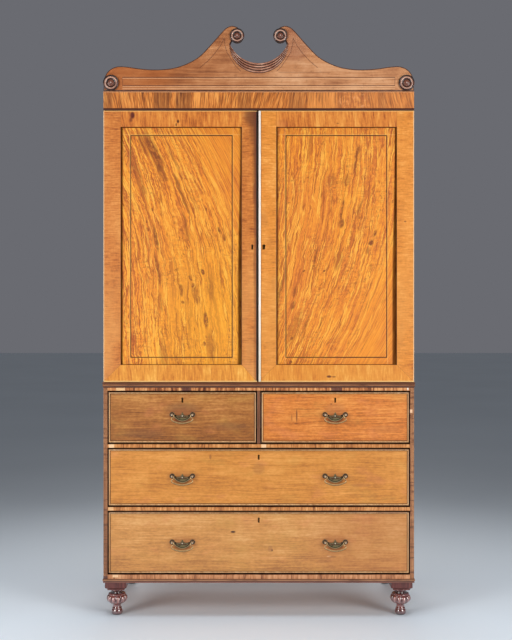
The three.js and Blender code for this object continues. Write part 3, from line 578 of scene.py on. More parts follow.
def frieze_wood(name, box, seed):
    """The frieze's crossbanding, with a dark bead below and a pale one above."""
    z0, z1 = box[0].z, box[1].z
    brown, pale = paint(124, 72, 36), paint(238, 152, 70)
    blocks = (
        (-0.607, -0.575, brown, 0.5),
        (-0.412, -0.351, brown, 0.5),
        (-0.325, -0.268, brown, 0.55),
        (-0.082, -0.030, brown, 0.4),
        (0.118, 0.176, brown, 0.4),
        (0.192, 0.306, pale, 0.5),
        (-0.255, -0.200, pale, 0.3),
        (0.470, 0.500, brown, 0.35),
    )
    patches = [(a, b, z0, z1, tint, share) for a, b, tint, share in blocks]
    tones = (paint(96, 46, 18), paint(204, 117, 46), paint(244, 164, 80))
    g, colour, height, _ = band_wood(name, seed, *tones, fan=(z0 + z1) / 2, patches=patches, strength=1.2)
    curls = g.noise(g.x * 70.0, 0.0, g.z * 60.0, seed + 9, 2.0, 0.6)
    flame = g.x.ease(0.28, 0.33) * g.x.ease(0.45, 0.42)
    colour = g.mix(flame * curls.ease(0.48, 0.6) * 0.6, colour, paint(160, 80, 44))
    colour = g.mix(flame * curls.ease(0.44, 0.34) * 0.5, colour, paint(244, 178, 122))
    lean = g.x + (g.z - z0) * (g.x.size() - 0.3) * 0.8
    lines = g.noise(lean * 210.0, 0.0, g.z * 10.0, seed + 7, 2.0, 0.6)
    colour = g.mix(lines.ease(0.53, 0.62) * 0.62, colour, paint(112, 54, 20))
    colour = g.mix(lines.ease(0.43, 0.36) * 0.4, colour, paint(250, 172, 92))
    redder = g.x.ease(-0.1, 0.45)
    colour = g.mix(redder * 0.25, colour, paint(220, 140, 84))
    low_bead, high_bead = 8 * MM, 4.4 * MM
    colour = g.mix((g.z - z0).ease(low_bead + 0.4 * MM, low_bead - 0.6 * MM), colour, paint(74, 32, 12))
    colour = g.mix((z1 - g.z).ease(high_bead + 0.4 * MM, high_bead - 0.6 * MM), colour, paint(196, 136, 92))
    return g.done(colour, 0.42, height=height, coat=0.15)


def level_wood(name, seed, dark, middle, light, roughness=0.35, coat=0.3):
    """Plain polished hardwood with its grain along X, or along Y on the side pieces."""
    g = Graph(name)
    along = g.x + g.y
    sway = g.noise(along * 3.0, 0.0, g.z * 9.0, seed, 2.0) - 0.5
    level = g.z + sway * 0.02
    lines = g.noise(along * 3.0, g.y * 90.0, level * 130.0, seed + 1, 3.0, 0.6)
    threads = g.noise(along * 22.0, g.y * 500.0, level * 700.0, seed + 2, 2.0)
    cloud = g.noise(along * 5.0, 0.0, g.z * 5.0, seed + 3, 2.0)
    tone = blend((lines, 1.4), (threads, 0.6), (cloud, 0.9))
    colour = g.tones(tone, dark, middle, light)
    return g.done(colour, roughness, height=threads * 0.00004, coat=coat)


def upright_wood(name, seed, dark, middle, light, roughness=0.4, patches=(), coat=0.15, banded=False):
    """Polished hardwood with its grain upright. banded turns the grain of its front edge across."""
    g = Graph(name)
    side = g.x + g.y
    sway = g.noise(side * 4.0, 0.0, g.z * 2.2, seed, 2.0) - 0.5
    flow = side + sway * 0.03
    lines = g.noise(flow * 75.0, 0.0, g.z * 1.4, seed + 1, 3.0, 0.6)
    threads = g.noise(flow * 420.0, 0.0, g.z * 12.0, seed + 2, 2.0)
    cloud = g.noise(side * 6.0, 0.0, g.z * 7.0, seed + 3, 3.0, 0.6)
    tone = blend((lines, 1.7), (threads, 0.8), (cloud, 0.75))
    colour = g.tones(tone, dark, middle, light)
    if banded:
        edge = (g.y - FRONT).ease(4 * MM, 2 * MM)
        short = g.noise(side * 14.0, 0.0, g.z * 70.0, seed + 4, 3.0, 0.65)
        colour = g.mix(edge * short.ease(0.5, 0.62) * 0.8, colour, dark)
        colour = g.mix(edge * short.ease(0.42, 0.32) * 0.5, colour, light)
    colour = g.patch(colour, patches, 1.2 * MM)
    # Painted shade and grime just inside the drawer openings.
    shade_and_dirt = g.shade_and_grime()
    colour = g.mix(shade_and_dirt, colour, SHADE_AND_GRIME)
    return g.done(colour, roughness, height=threads * 0.00004, coat=coat, matt=shade_and_dirt)


def turned_wood(
    name, seed, dark, middle, light, roughness, coat, hollow=0.012, bands=(), gloss=1.5, lobe_highlights=()
):
    """Glossy turned hardwood with painted shade in its hollows. gloss is the polish's IOR.
    bands run round the piece's own middle on XZ: radius, half width, colour and strength.
    lobe_highlights are pale marks painted as highlights on the lobes: how many go round the piece's own
    upright axis, from and to a height, and the colour."""
    g = Graph(name)
    lines = g.noise(g.x * 60.0, g.y * 60.0, g.z * 300.0, seed, 3.0, 0.6)
    cloud = g.noise(g.x * 22.0, g.y * 22.0, g.z * 22.0, seed + 1, 3.0)
    tone = blend((lines, 0.9), (cloud, 1.4))
    colour = g.tones(tone, dark, middle, light)
    away = g.away(g.z)
    for radius, half, tint, strength in bands:
        colour = g.mix(away.near(radius, half, 0.9 * MM) * strength * cloud.ease(0.2, 0.55), colour, tint)
    # Painted highlights on the crests of the lobes.
    for count, z0, z1, tint in lobe_highlights:
        turn = g.math("ARCTAN2", g.y, g.x)
        height = g.z.near((z0 + z1) / 2, (z1 - z0) / 2, 4 * MM)
        lobe_highlight = g.math("COSINE", turn * count).ease(-0.4, -0.9) * height
        colour = g.mix(lobe_highlight * cloud.ease(0.25, 0.6) * 0.55, colour, tint)
    # Painted shade in the hollows.
    colour = g.mix(g.openness(hollow).ease(0.4, 0.85), paint(24, 8, 5), colour)
    height = lines * 0.00002
    return g.done(colour, roughness, height=height, bump=0.4, coat=coat, coat_rough=0.04, gloss=gloss)


def pine_wood(name, seed, grain, plank=0.2):
    """Plain pine boards with growth rings, a few knots and a joint line every plank's width.
    grain says how it runs: upright, level or deep."""
    g = Graph(name)
    ways = {"upright": (g.z, g.x, g.y), "level": (g.x, g.z, g.y), "deep": (g.y, g.z, g.x)}
    along, over, third = ways[grain]
    over = over + third * 0.83
    sway = g.noise(along * 2.5, 0.0, over * 5.0, seed, 2.0) - 0.5
    flow = over + sway * 0.05
    rings = g.noise(flow * 95.0, 0.0, along * 1.1, seed + 1, 3.0, 0.6)
    threads = g.noise(flow * 600.0, 0.0, along * 9.0, seed + 2, 2.0)
    cloud = g.noise(over * 4.0, 0.0, along * 2.0, seed + 3, 3.0)
    tone = blend((rings, 1.2), (threads, 0.6), (cloud, 1.1))
    colour = g.tones(tone, paint(138, 96, 56), paint(190, 148, 98), paint(222, 186, 136))
    knots = g.noise(over * 9.0, third * 9.0, along * 4.0, seed + 4, 0.0).ease(0.8, 0.88)
    colour = g.mix(knots * 0.6, colour, paint(118, 74, 42))
    line = g.math("PINGPONG", over + 5.0, plank / 2).ease(0.7 * MM, 0.2 * MM)
    colour = g.mix(line * 0.7, colour, paint(70, 46, 26))
    height = (threads + rings * 0.6) * 0.00006 - line * 0.0002
    return g.done(colour, 0.72, height=height)


def pediment_wood(name, box, curve):
    """Worn mahogany board with cut lines along its foot, its slopes and its round opening.
    The lines of curve are points of the right half."""
    g = Graph(name)
    (x0, _, z0), (x1, _, _) = box
    wide = (x1 - x0) / 2
    sway = g.noise(g.x * 2.0, 0.0, g.z * 6.0, 41.0, 2.0) - 0.5
    level = g.z + sway * 0.03
    lines = g.noise(g.x * 4.0, 0.0, level * 150.0, 42.0, 3.0, 0.65)
    broad = g.noise(g.x * 2.5, 0.0, level * 28.0, 43.0, 3.0)
    threads = g.noise(g.x * 18.0, 0.0, level * 620.0, 44.0, 2.0)
    cloud = g.noise(g.x * 9.0, 0.0, g.z * 12.0, 45.0, 4.0, 0.65)
    tone = blend((lines, 1.2), (broad, 0.9), (threads, 0.6), (cloud, 1.7))
    left = g.tones(tone, paint(116, 58, 26), paint(166, 98, 52), paint(202, 136, 84))
    right = g.tones(tone, paint(144, 84, 50), paint(200, 138, 92), paint(228, 174, 130))
    colour = g.mix(g.x.ease(-0.42, 0.3), left, right)
    ginger = g.blot(-0.5, z0 + 0.06, 0.2, 0.12)
    colour = g.mix(ginger * 0.5, colour, paint(180, 98, 40))
    colour = g.mix(g.blot(0.14, z0 + 0.19, 0.09, 0.09) * 0.5, colour, paint(152, 92, 70))
    end = wide - 76 * MM
    inside = g.x.size().ease(end + 2 * MM, end)
    cuts = g.z.near(z0 + 21.5 * MM, 1.2 * MM, 0.6 * MM).most(g.z.near(z0 + 54 * MM, 1.2 * MM, 0.6 * MM))
    ends = g.x.size().near(end, 1.0 * MM, 0.6 * MM) * g.z.near(z0 + 38 * MM, 17 * MM, 1 * MM)
    cuts = (cuts * inside).most(ends * 0.7)
    short = g.z.near(z0 + 74 * MM, 0.9 * MM, 0.6 * MM) * g.x.size().near(180 * MM, 98 * MM, 8 * MM)
    cuts = cuts.most(short * 0.6)
    for line in curve:
        for start, end in zip(line, line[1:]):
            cuts = cuts.most(stroke(g, start, end, 0.9 * MM) * 0.8)
    colour = g.mix(cuts * 0.8, colour, paint(84, 40, 20))
    light = g.z.near(z0 + 17.6 * MM, 1.4 * MM, 0.8 * MM).most(g.z.near(z0 + 50 * MM, 1.2 * MM, 0.8 * MM))
    light = light.most(g.z.near(z0 + 9.4 * MM, 1.8 * MM, 0.9 * MM)) * inside
    colour = g.mix(light * 0.45, colour, paint(238, 186, 140))
    foot = (g.z - z0).ease(4.2 * MM, 2.6 * MM)
    colour = g.mix(foot * 0.9, colour, paint(70, 28, 8))
    edge = g.noise(g.x * 60.0, 0.0, g.z * 60.0, 47.0, 2.0).ease(0.6, 0.7)
    colour = g.mix(edge * 0.25, colour, paint(110, 62, 36))
    height = threads * 0.00004 - cuts * 0.0006
    return g.done(colour, 0.44, height=height, bump=0.6, coat=0.12)


def stroke(g, start, end, half):
    """1 along a straight cut on both halves of the front from start to end, each a place across and up."""
    ax, az = start
    bx, bz = end
    long = math.hypot(bx - ax, bz - az)
    ux, uz = (bx - ax) / long, (bz - az) / long
    x = g.x.size()
    along = (x - ax) * ux + (g.z - az) * uz
    off = ((x - ax) * uz - (g.z - az) * ux).size()
    return off.ease(half + 0.9 * MM, half) * along.near(long / 2, long / 2, 1.2 * MM)


def old_brass(name, seed, light, dark, roughness, start, end, metal, spots=(), bands=(), hub=0.0, underside_shade=0.0):
    """Brass that is bright where hands rub it and dark in its hollows, round the piece's own middle.
    It turns from dark to bright between start and end, from 0 in a hollow to 1 in the open.
    spots are painted shadows across, up, wide, high and strong; bands are radius, half width, colour and
    strength, round a place hub above the middle. Their sizes are in millimetres.
    underside_shade is how dark the faces that point down are painted as their shade."""
    g = Graph(name)
    cloud = g.noise(g.x * 130.0, g.y * 130.0, g.z * 130.0, seed, 3.0)
    shade = g.openness(5 * MM).ease(start, end)
    rubbed = (shade * 0.75 + (cloud - 0.5) * 1.5).ease(0.25, 0.85)
    colour = g.mix(rubbed, dark, light)
    away = g.away(g.z - hub)
    for radius, half, tint, strength in bands:
        colour = g.mix(away.near(radius * MM, half * MM, 0.5 * MM) * strength, colour, tint)
    # Painted shadows.
    for x, z, wide, tall, strength in spots:
        colour = g.mix(g.blot(x * MM, z * MM, wide * MM, tall * MM) * strength, colour, paint(14, 9, 5))
    # Painted shade on the faces that point down.
    if underside_shade:
        split = g.node("ShaderNodeSeparateXYZ")
        g.tree.links.new(g.node("ShaderNodeTexCoord").outputs["Normal"], split.inputs[0])
        colour = g.mix(Value(g, split.outputs[2]).ease(0.3, -0.5) * underside_shade, colour, paint(58, 38, 20))
    pits = g.noise(g.x * 900.0, g.y * 900.0, g.z * 900.0, seed + 2, 2.0)
    height = pits * 0.00002
    return g.done(colour, roughness + (1.0 - rubbed) * 0.3, metallic=metal, height=height, bump=0.4)


def sheen_strip(name, box):
    """Pale worn metal of the meeting strip, painted near white as its reflection of the lamps, with painted
    shade along its edges and towards its foot.
    """
    g = Graph(name)
    (x0, _, z0), (x1, _, _) = box
    cloud = g.noise(g.x * 60.0, 0.0, g.z * 12.0, 8.0, 3.0)
    colour = g.mix(cloud.ease(0.35, 0.7) * 0.6, paint(252, 244, 234), paint(232, 218, 202))
    colour = g.mix(g.z.ease(z0 + 0.35, z0) * 0.5, colour, paint(206, 196, 160))
    edge = (g.x - x0).least(x1 - g.x).ease(2.8 * MM, 0.8 * MM)
    colour = g.mix(edge * 0.8, colour, paint(122, 84, 62))
    scratches = g.noise(g.x * 400.0, 0.0, g.z * 40.0, 9.0, 2.0)
    return g.done(colour, 0.34 + scratches * 0.12, metallic=0.25, height=scratches * 0.00001, bump=0.3)


# Meshes


def settle(obj, material, body, stands_for=(), sharp=35.0):
    """Links a new piece, smooths it and hands it to the frame."""
    if obj.name not in bpy.context.scene.collection.objects:
        bpy.context.scene.collection.objects.link(obj)
    mesh = obj.data
    mesh.materials.clear()
    mesh.materials.append(material)
    mesh.polygons.foreach_set("use_smooth", [True] * len(mesh.polygons))
    mesh.set_sharp_from_angle(angle=math.radians(sharp))
    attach(obj, body)
    if stands_for:
        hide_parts(*stands_for)
    return obj


def mesh_piece(name, mesh, material, body, stands_for=(), sharp=35.0, at=None):
    """A new piece from its mesh."""
    obj = bpy.data.objects.new(name, mesh)
    if at is not None:
        obj.location = at
    return settle(obj, material, body, stands_for, sharp)


def piece(name, verts, faces, material, body, slot, stands_for=(), sharp=35.0, at=None):
    """A new piece. at is its place where its points count from its own middle."""
    mesh = bpy.data.meshes.new(name)
    mesh.from_pydata([tuple(v) for v in verts], [], faces)
    mesh.validate()
    return mesh_piece(name, mesh, material, body, stands_for, sharp, at)


def rings(rows, closed):
    """Faces between rows of points of one length. closed joins the ends of each row."""
    verts = [p for row in rows for p in row]
    count = len(rows[0])
    faces = []
    for r in range(len(rows) - 1):
        for i in range(count if closed else count - 1):
            j = (i + 1) % count
            faces.append((r * count + i, r * count + j, (r + 1) * count + j, (r + 1) * count + i))
    return verts, faces


def solid(rows):
    """Faces between closed rows of points, over the first one and over the last one."""
    verts, faces = rings(rows, True)
    count = len(rows[0])
    faces.append(tuple(range(count))[::-1])
    faces.append(tuple(range(len(verts) - count, len(verts))))
    return verts, faces


def smooth_line(points, steps):
    """Points along a centripetal Catmull-Rom line through the given ones, which may have any length."""
    line = [Vector(p) for p in points]
    line = [line[0] * 2 - line[1], *line, line[-1] * 2 - line[-2]]
    out = []
    for i in range(1, len(line) - 2):
        p = line[i - 1 : i + 3]
        t = [0.0]
        for a, b in zip(p, p[1:]):
            t.append(t[-1] + max((b - a).length, 1e-9) ** 0.5)
        for s in range(steps):
            at = t[1] + (t[2] - t[1]) * s / steps
            level = p
            for width in (1, 2):
                level = [
                    level[k] * ((t[k + width] - at) / (t[k + width] - t[k]))
                    + level[k + 1] * ((at - t[k]) / (t[k + width] - t[k]))
                    for k in range(4 - width)
                ]
            share = (at - t[1]) / (t[2] - t[1])
            out.append(level[0] * (1 - share) + level[1] * share)
    out.append(line[-2])
    return out


def smooth_profile(rows, steps, least):
    """A smooth line through (radius, height) rows whose radius is never under least."""
    return [(max(p.x, least), p.y) for p in smooth_line([(r, h, 0) for r, h in rows], steps)]


def turning(profile, around, lobes=None):
    """A turned solid round Z from (radius, height) rows. lobes gives each row's depth of lobe and their
    number."""
    rows = []
    for i, (radius, height) in enumerate(profile):
        row = []
        for k in range(around):
            angle = 2 * math.pi * k / around
            r = radius
            if lobes:
                depth, count = lobes[0][i], lobes[1]
                r = radius * (1 - depth * (1 - abs(math.sin(angle * count / 2)) ** 0.6))
            row.append(Vector((r * math.cos(angle), r * math.sin(angle), height)))
        rows.append(row)
    return solid(rows)


def turned_forward(profile, around):
    """A turned solid whose axis points out of the front."""
    verts, faces = turning(profile, around)
    return [LAY_FORWARD @ v for v in verts], faces


def plate(outline, holes, y0, y1, bevel):
    """The mesh of a flat piece of the front from y0 back to y1 with rounded edges.
    Outline and holes are (x, z) points."""
    curve = bpy.data.curves.new("plate", "CURVE")
    curve.dimensions = "2D"
    curve.fill_mode = "BOTH"
    curve.extrude = (y1 - y0) / 2 - bevel
    curve.bevel_depth = bevel
    curve.bevel_resolution = 2
    curve.offset = -bevel
    for points in (outline, *holes):
        spline = curve.splines.new("POLY")
        spline.points.add(len(points) - 1)
        for point, (x, z) in zip(spline.points, points):
            point.co = (x, z, 0, 1)
        spline.use_cyclic_u = True
    temporary = bpy.data.objects.new("plate", curve)
    bpy.context.scene.collection.objects.link(temporary)
    bpy.context.view_layer.update()
    mesh = bpy.data.meshes.new_from_object(temporary.evaluated_get(bpy.context.evaluated_depsgraph_get()))
    bpy.data.objects.remove(temporary)
    bpy.data.curves.remove(curve)
    mesh.transform(Matrix.Translation((0, (y0 + y1) / 2, 0)) @ Matrix.Rotation(math.radians(90), 4, "X"))
    return mesh


def picture_frame(x0, x1, z0, z1, profile):
    """A mitred frame from (inset, y) rows, closed on itself."""
    rows = []
    for inset, y in profile:
        a, b, c, d = x0 + inset, x1 - inset, z0 + inset, z1 - inset
        rows.append([Vector((a, y, c)), Vector((b, y, c)), Vector((b, y, d)), Vector((a, y, d))])
    rows.append(rows[0])
    return rings(rows, True)


def tube(points, radii, sides=14):
    """A round bar along points in the XZ plane, with flat ends."""
    rows = []
    for i, p in enumerate(points):
        a, b = points[max(i - 1, 0)], points[min(i + 1, len(points) - 1)]
        along = (b - a).normalized()
        out = Vector((0, 1, 0))
        over = along.cross(out)
        turns = [2 * math.pi * k / sides for k in range(sides)]
        rows.append([p + (out * math.cos(t) + over * math.sin(t)) * radii[i] for t in turns])
    return solid(rows)


def dress(node, material, bevel=0.7 * MM, segments=2):
    """Shows a CAD node itself, with softened edges."""
    obj = nodes[node]
    mesh = obj.data
    mesh.materials.clear()
    mesh.materials.append(material)
    if "custom_normal" in mesh.attributes:
        mesh.attributes.remove(mesh.attributes["custom_normal"])
    mesh.polygons.foreach_set("use_smooth", [False] * len(mesh.polygons))
    weld = obj.modifiers.new("Weld", "WELD")
    weld.merge_threshold = 0.02 * MM
    if bevel:
        soft = obj.modifiers.new("Bevel", "BEVEL")
        soft.width = bevel
        soft.segments = segments
        soft.limit_method = "ANGLE"
        soft.angle_limit = math.radians(40)
        soft.harden_normals = False
    return obj


def dress_box(node):
    """Shows an open pine box whose two ends have their grain from front to back."""
    obj = dress(node, pine_level, 1.0 * MM)
    obj.data.materials.append(pine_deep)
    for face in obj.data.polygons:
        face.material_index = 1 if abs(face.normal.x) > 0.7 else 0


def keyhole(x, top):
    """Outline of a keyhole: a round eye over a slot."""
    eye, half, foot = KEYHOLE_EYE, KEYHOLE_HALF, top - KEYHOLE_TALL
    opening = math.asin(half / eye)
    first = -math.pi / 2 + opening
    sweep = 2 * math.pi - 2 * opening
    turns = [first + sweep * i / 20 for i in range(21)]
    round_part = [(x + eye * math.cos(a), top - eye + eye * math.sin(a)) for a in turns]
    return [(x - half, foot), (x + half, foot), *round_part]


def banded_wood(name, seed, tones, foot, bands):
    """Polished moulding with painted highlights along its reeds and painted shade along its hollows.
    Each band is its height over the foot and half its width in millimetres, its tint and its strength."""
    g = Graph(name)
    along = g.x + g.y
    lines = g.noise(along * 5.0, 0.0, g.z * 400.0, seed, 3.0, 0.6)
    cloud = g.noise(along * 12.0, 0.0, g.z * 30.0, seed + 1, 3.0, 0.6)
    colour = g.tones(blend((lines, 1.2), (cloud, 1.8)), *tones)
    for up, half, tint, strength in bands:
        patchy = cloud.ease(0.25, 0.55) * strength
        colour = g.mix(g.z.near(foot + up * MM, half * MM, 0.8 * MM) * patchy, colour, tint)
    return g.done(colour, 0.34, height=lines * 0.00003, bump=0.4, coat=0.3)


# The press

# Pale bands are painted highlights on the waist's reeds, dark bands painted shade in its hollows.
waist_mahogany = banded_wood(
    "waist mahogany",
    11.0,
    (paint(72, 34, 18), paint(118, 66, 34), paint(150, 90, 52)),
    low("waist_moulding").z,
    (
        (20.2, 0.8, paint(136, 80, 46), 0.9),
        (16.6, 1.4, paint(70, 34, 20), 0.9),
        (10.2, 2.4, paint(158, 108, 72), 0.75),
        (3.6, 2.0, paint(44, 18, 10), 0.95),
        (0.4, 0.8, paint(120, 66, 40), 0.6),
    ),
)
# Pale bands are painted highlights on the base's reeds, dark bands painted shade in its hollows.
base_mahogany = banded_wood(
    "base mahogany",
    12.0,
    (paint(70, 34, 24), paint(116, 72, 50), paint(160, 108, 80)),
    low("base_moulding").z,
    (
        (14.6, 0.6, paint(84, 44, 26), 0.8),
        (11.0, 1.6, paint(180, 132, 92), 0.7),
        (6.4, 1.0, paint(84, 46, 30), 0.9),
        (2.4, 1.8, paint(132, 80, 68), 0.6),
    ),
)
foot_tones = (paint(54, 14, 12), paint(114, 48, 42), paint(166, 94, 82))
# Painted highlights on the crests of the feet's lobes.
crest_highlights = [(12, 56 * MM, 72 * MM, paint(214, 160, 148))]
foot_mahogany = turned_wood("foot mahogany", 13.0, *foot_tones, 0.2, 1.0, gloss=2.25, lobe_highlights=crest_highlights)
pine_level = pine_wood("pine, level", 15.0, "level")
pine_upright = pine_wood("pine, upright", 16.0, "upright")
pine_deep = pine_wood("pine, deep", 20.0, "deep")
plate_shadows = (
    (-27, -5, 6, 5.5, 1.0),
    (27, -5, 6, 5.5, 1.0),
    (-13, -10, 6, 3.6, 0.8),
    (13, -10, 6, 3.6, 0.8),
    (0, -9, 4, 5, 0.6),
)
# A painted highlight along the plate's lower edge, with a dark line just inside it.
plate_rim_highlight = ((37, 1.1, paint(176, 158, 112), 0.8), (33.6, 1.7, paint(30, 24, 14), 0.7))
plate_tones = (paint(124, 110, 74), paint(28, 23, 14))
plate_looks = (plate_shadows, plate_rim_highlight, 12 * MM)
plate_brass = old_brass("plate brass", 3.0, *plate_tones, 0.4, 0.55, 1.0, 0.45, *plate_looks)
# The pale rings and nose are painted highlights; the dark ring is patina in the rose's hollow.
rose_rings = (
    (9.4, 1.3, paint(128, 108, 80), 0.7),
    (6.9, 1.6, paint(50, 30, 18), 0.9),
    (4.2, 1.0, paint(150, 126, 92), 0.5),
    (0.0, 2.6, paint(226, 206, 180), 0.7),
)
post_tones = (paint(142, 112, 80), paint(52, 34, 22))
post_brass = old_brass("post brass", 7.0, *post_tones, 0.4, 0.5, 1.0, 0.4, bands=rose_rings)
bail_tones = (paint(226, 190, 134), paint(104, 74, 42))
# The bail is painted darker on its undersides as their shade.
bail_brass = old_brass("bail brass", 9.0, *bail_tones, 0.32, 0.35, 0.9, 0.6, underside_shade=0.85)


def door_looks():
    """For each door the side of its hinges, the colours of its stiles, the stains of its frame and the dark
    places of its panel. Stains and dark places are set after the photograph."""
    knot, wine, brown = paint(96, 34, 22), paint(80, 32, 18), paint(96, 50, 30)
    return {
        "left": (
            -1,
            (paint(148, 74, 32), paint(197, 113, 47), paint(213, 131, 59), paint(230, 158, 84)),
            [
                (-0.496, 1.972, 0.012, 0.017, knot, 1.0),
                (-0.502, 1.955, 0.007, 0.012, knot, 0.7),
                (-0.317, 1.948, 0.006, 0.009, wine, 1.0),
                (-0.324, 1.935, 0.004, 0.008, wine, 0.8),
                (-0.018, 1.968, 0.05, 0.055, brown, 0.75),
                (-0.008, 1.90, 0.034, 0.13, brown, 0.6),
                (-0.004, 1.78, 0.026, 0.25, paint(120, 74, 30), 0.55),
            ],
            [
                (-0.412, 1.828, 0.030, 0.095, 0.9), (-0.455, 1.862, 0.024, 0.06, 0.6),
                (-0.385, 1.755, 0.018, 0.05, 0.75), (-0.470, 1.72, 0.020, 0.12, 0.5),
                (-0.333, 1.80, 0.008, 0.06, 0.5), (-0.317, 1.70, 0.011, 0.06, 0.7),
                (-0.290, 1.63, 0.010, 0.06, 0.65), (-0.283, 1.53, 0.008, 0.07, 0.6),
                (-0.416, 1.603, 0.006, 0.009, 1.0), (-0.442, 1.556, 0.005, 0.009, 0.9),
                (-0.438, 1.525, 0.006, 0.010, 0.9), (-0.406, 1.49, 0.009, 0.075, 0.8),
                (-0.396, 1.36, 0.008, 0.075, 0.8), (-0.385, 1.24, 0.008, 0.05, 0.5),
                (-0.207, 1.604, 0.005, 0.009, 0.9), (-0.156, 1.52, 0.008, 0.018, 0.9),
                (-0.137, 1.492, 0.009, 0.018, 0.8), (-0.219, 1.357, 0.008, 0.014, 1.0),
                (-0.271, 1.333, 0.009, 0.014, 1.0), (-0.262, 1.305, 0.006, 0.012, 0.9),
                (-0.307, 1.285, 0.011, 0.030, 0.8), (-0.300, 1.238, 0.008, 0.008, 0.8),
                (-0.250, 1.27, 0.014, 0.05, 0.5), (-0.207, 1.168, 0.012, 0.045, 0.85),
                (-0.190, 1.07, 0.022, 0.075, 0.45), (-0.215, 1.075, 0.006, 0.012, 0.8),
                (-0.375, 1.03, 0.020, 0.08, 0.4), (-0.190, 1.29, 0.014, 0.06, 0.5),
            ],
        ),
        "right": (
            1,
            (paint(180, 98, 38), paint(218, 134, 48), paint(231, 147, 59), paint(246, 176, 92)),
            [
                (0.276, 0.946, 0.012, 0.006, knot, 0.9),
                (0.295, 0.945, 0.010, 0.004, knot, 0.6),
                (0.31, 1.94, 0.006, 0.004, knot, 0.5),
                (0.09, 1.94, 0.03, 0.02, paint(196, 112, 60), 0.4),
                (0.575, 1.555, 0.006, 0.004, knot, 0.6),
            ],
            [
                (0.125, 1.002, 0.009, 0.009, 1.0), (0.385, 1.80, 0.007, 0.07, 0.8),
                (0.395, 1.84, 0.010, 0.02, 0.5), (0.205, 1.87, 0.008, 0.07, 0.5),
                (0.328, 1.60, 0.007, 0.06, 0.9), (0.326, 1.548, 0.014, 0.022, 0.8),
                (0.395, 1.60, 0.009, 0.045, 0.6), (0.288, 1.718, 0.022, 0.03, 0.4),
                (0.345, 1.718, 0.018, 0.03, 0.35), (0.460, 1.510, 0.009, 0.016, 0.9),
                (0.443, 1.472, 0.011, 0.014, 0.9), (0.430, 1.440, 0.008, 0.018, 0.6),
                (0.315, 1.40, 0.020, 0.05, 0.4), (0.224, 1.42, 0.005, 0.05, 0.8),
                (0.178, 1.361, 0.006, 0.006, 1.0), (0.259, 1.361, 0.006, 0.006, 0.9),
                (0.216, 1.375, 0.006, 0.012, 0.8), (0.350, 1.362, 0.006, 0.005, 0.8),
                (0.142, 1.28, 0.010, 0.03, 0.7), (0.134, 1.225, 0.014, 0.022, 0.8),
                (0.185, 1.15, 0.006, 0.05, 0.7), (0.243, 1.155, 0.005, 0.03, 0.8),
                (0.14, 1.13, 0.03, 0.10, 0.35), (0.13, 1.095, 0.008, 0.008, 0.9),
                (0.094, 1.32, 0.010, 0.09, 0.6),
            ],
        ),
    }


def dress_doors():
    for seed, (side, (outer, tones, stain, blots)) in zip((21.0, 31.0), door_looks().items()):
        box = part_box(f"door_{side}_frame")
        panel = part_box(f"door_{side}_panel")
        sight = (panel[0].x + REBATE, panel[1].x - REBATE, panel[0].z + REBATE, panel[1].z - REBATE)
        lively = 1.15 if side == "left" else 0.85
        frame_wood = door_wood(f"door wood, {side}", box, sight, seed, tones, outer, stain)
        dress(f"door_{side}_frame", frame_wood, 0.8 * MM)
        veneer = panel_wood(f"panel wood, {side}", panel, side == "right", seed + 4.5, lively, blots)
        dress(f"door_{side}_panel", veneer, 0)
    dress_meeting_strip()


def dress_meeting_strip():
    """A half-round strip whose two ends are eased."""
    strip = "door_right_meeting_strip"
    (x0, y0, z0), (x1, y1, z1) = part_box(strip)
    middle, half, easing = (x0 + x1) / 2, (x1 - x0) / 2, 0.6 * MM
    arc = [math.pi * i / 16 for i in range(17)]
    rows = []
    for z, inset in ((z0, easing), (z0 + easing, 0), (z1 - easing, 0), (z1, easing)):
        wide, proud = half - inset, y1 - y0 - inset
        rows.append([(middle - wide * math.cos(a), y1 - proud * math.sin(a), z) for a in arc])
    material = sheen_strip("bright strip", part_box(strip))
    piece("meeting_strip", *solid(rows), material, "door_right", "pale_brass", [strip])


def bead_profile(wide, proud, back):
    """Rows of a half-round bead from its outer edge inwards, with a flat back."""
    rows = [(0.0, back), (0.0, 2.4 * MM)]
    for i in range(9):
        angle = math.pi * i / 8
        rows.append((wide / 2 * (1 - math.cos(angle)), -proud + wide / 2 - wide / 2 * math.sin(angle)))
    rows.append((wide, back))
    return [(inset, FRONT + y) for inset, y in rows]


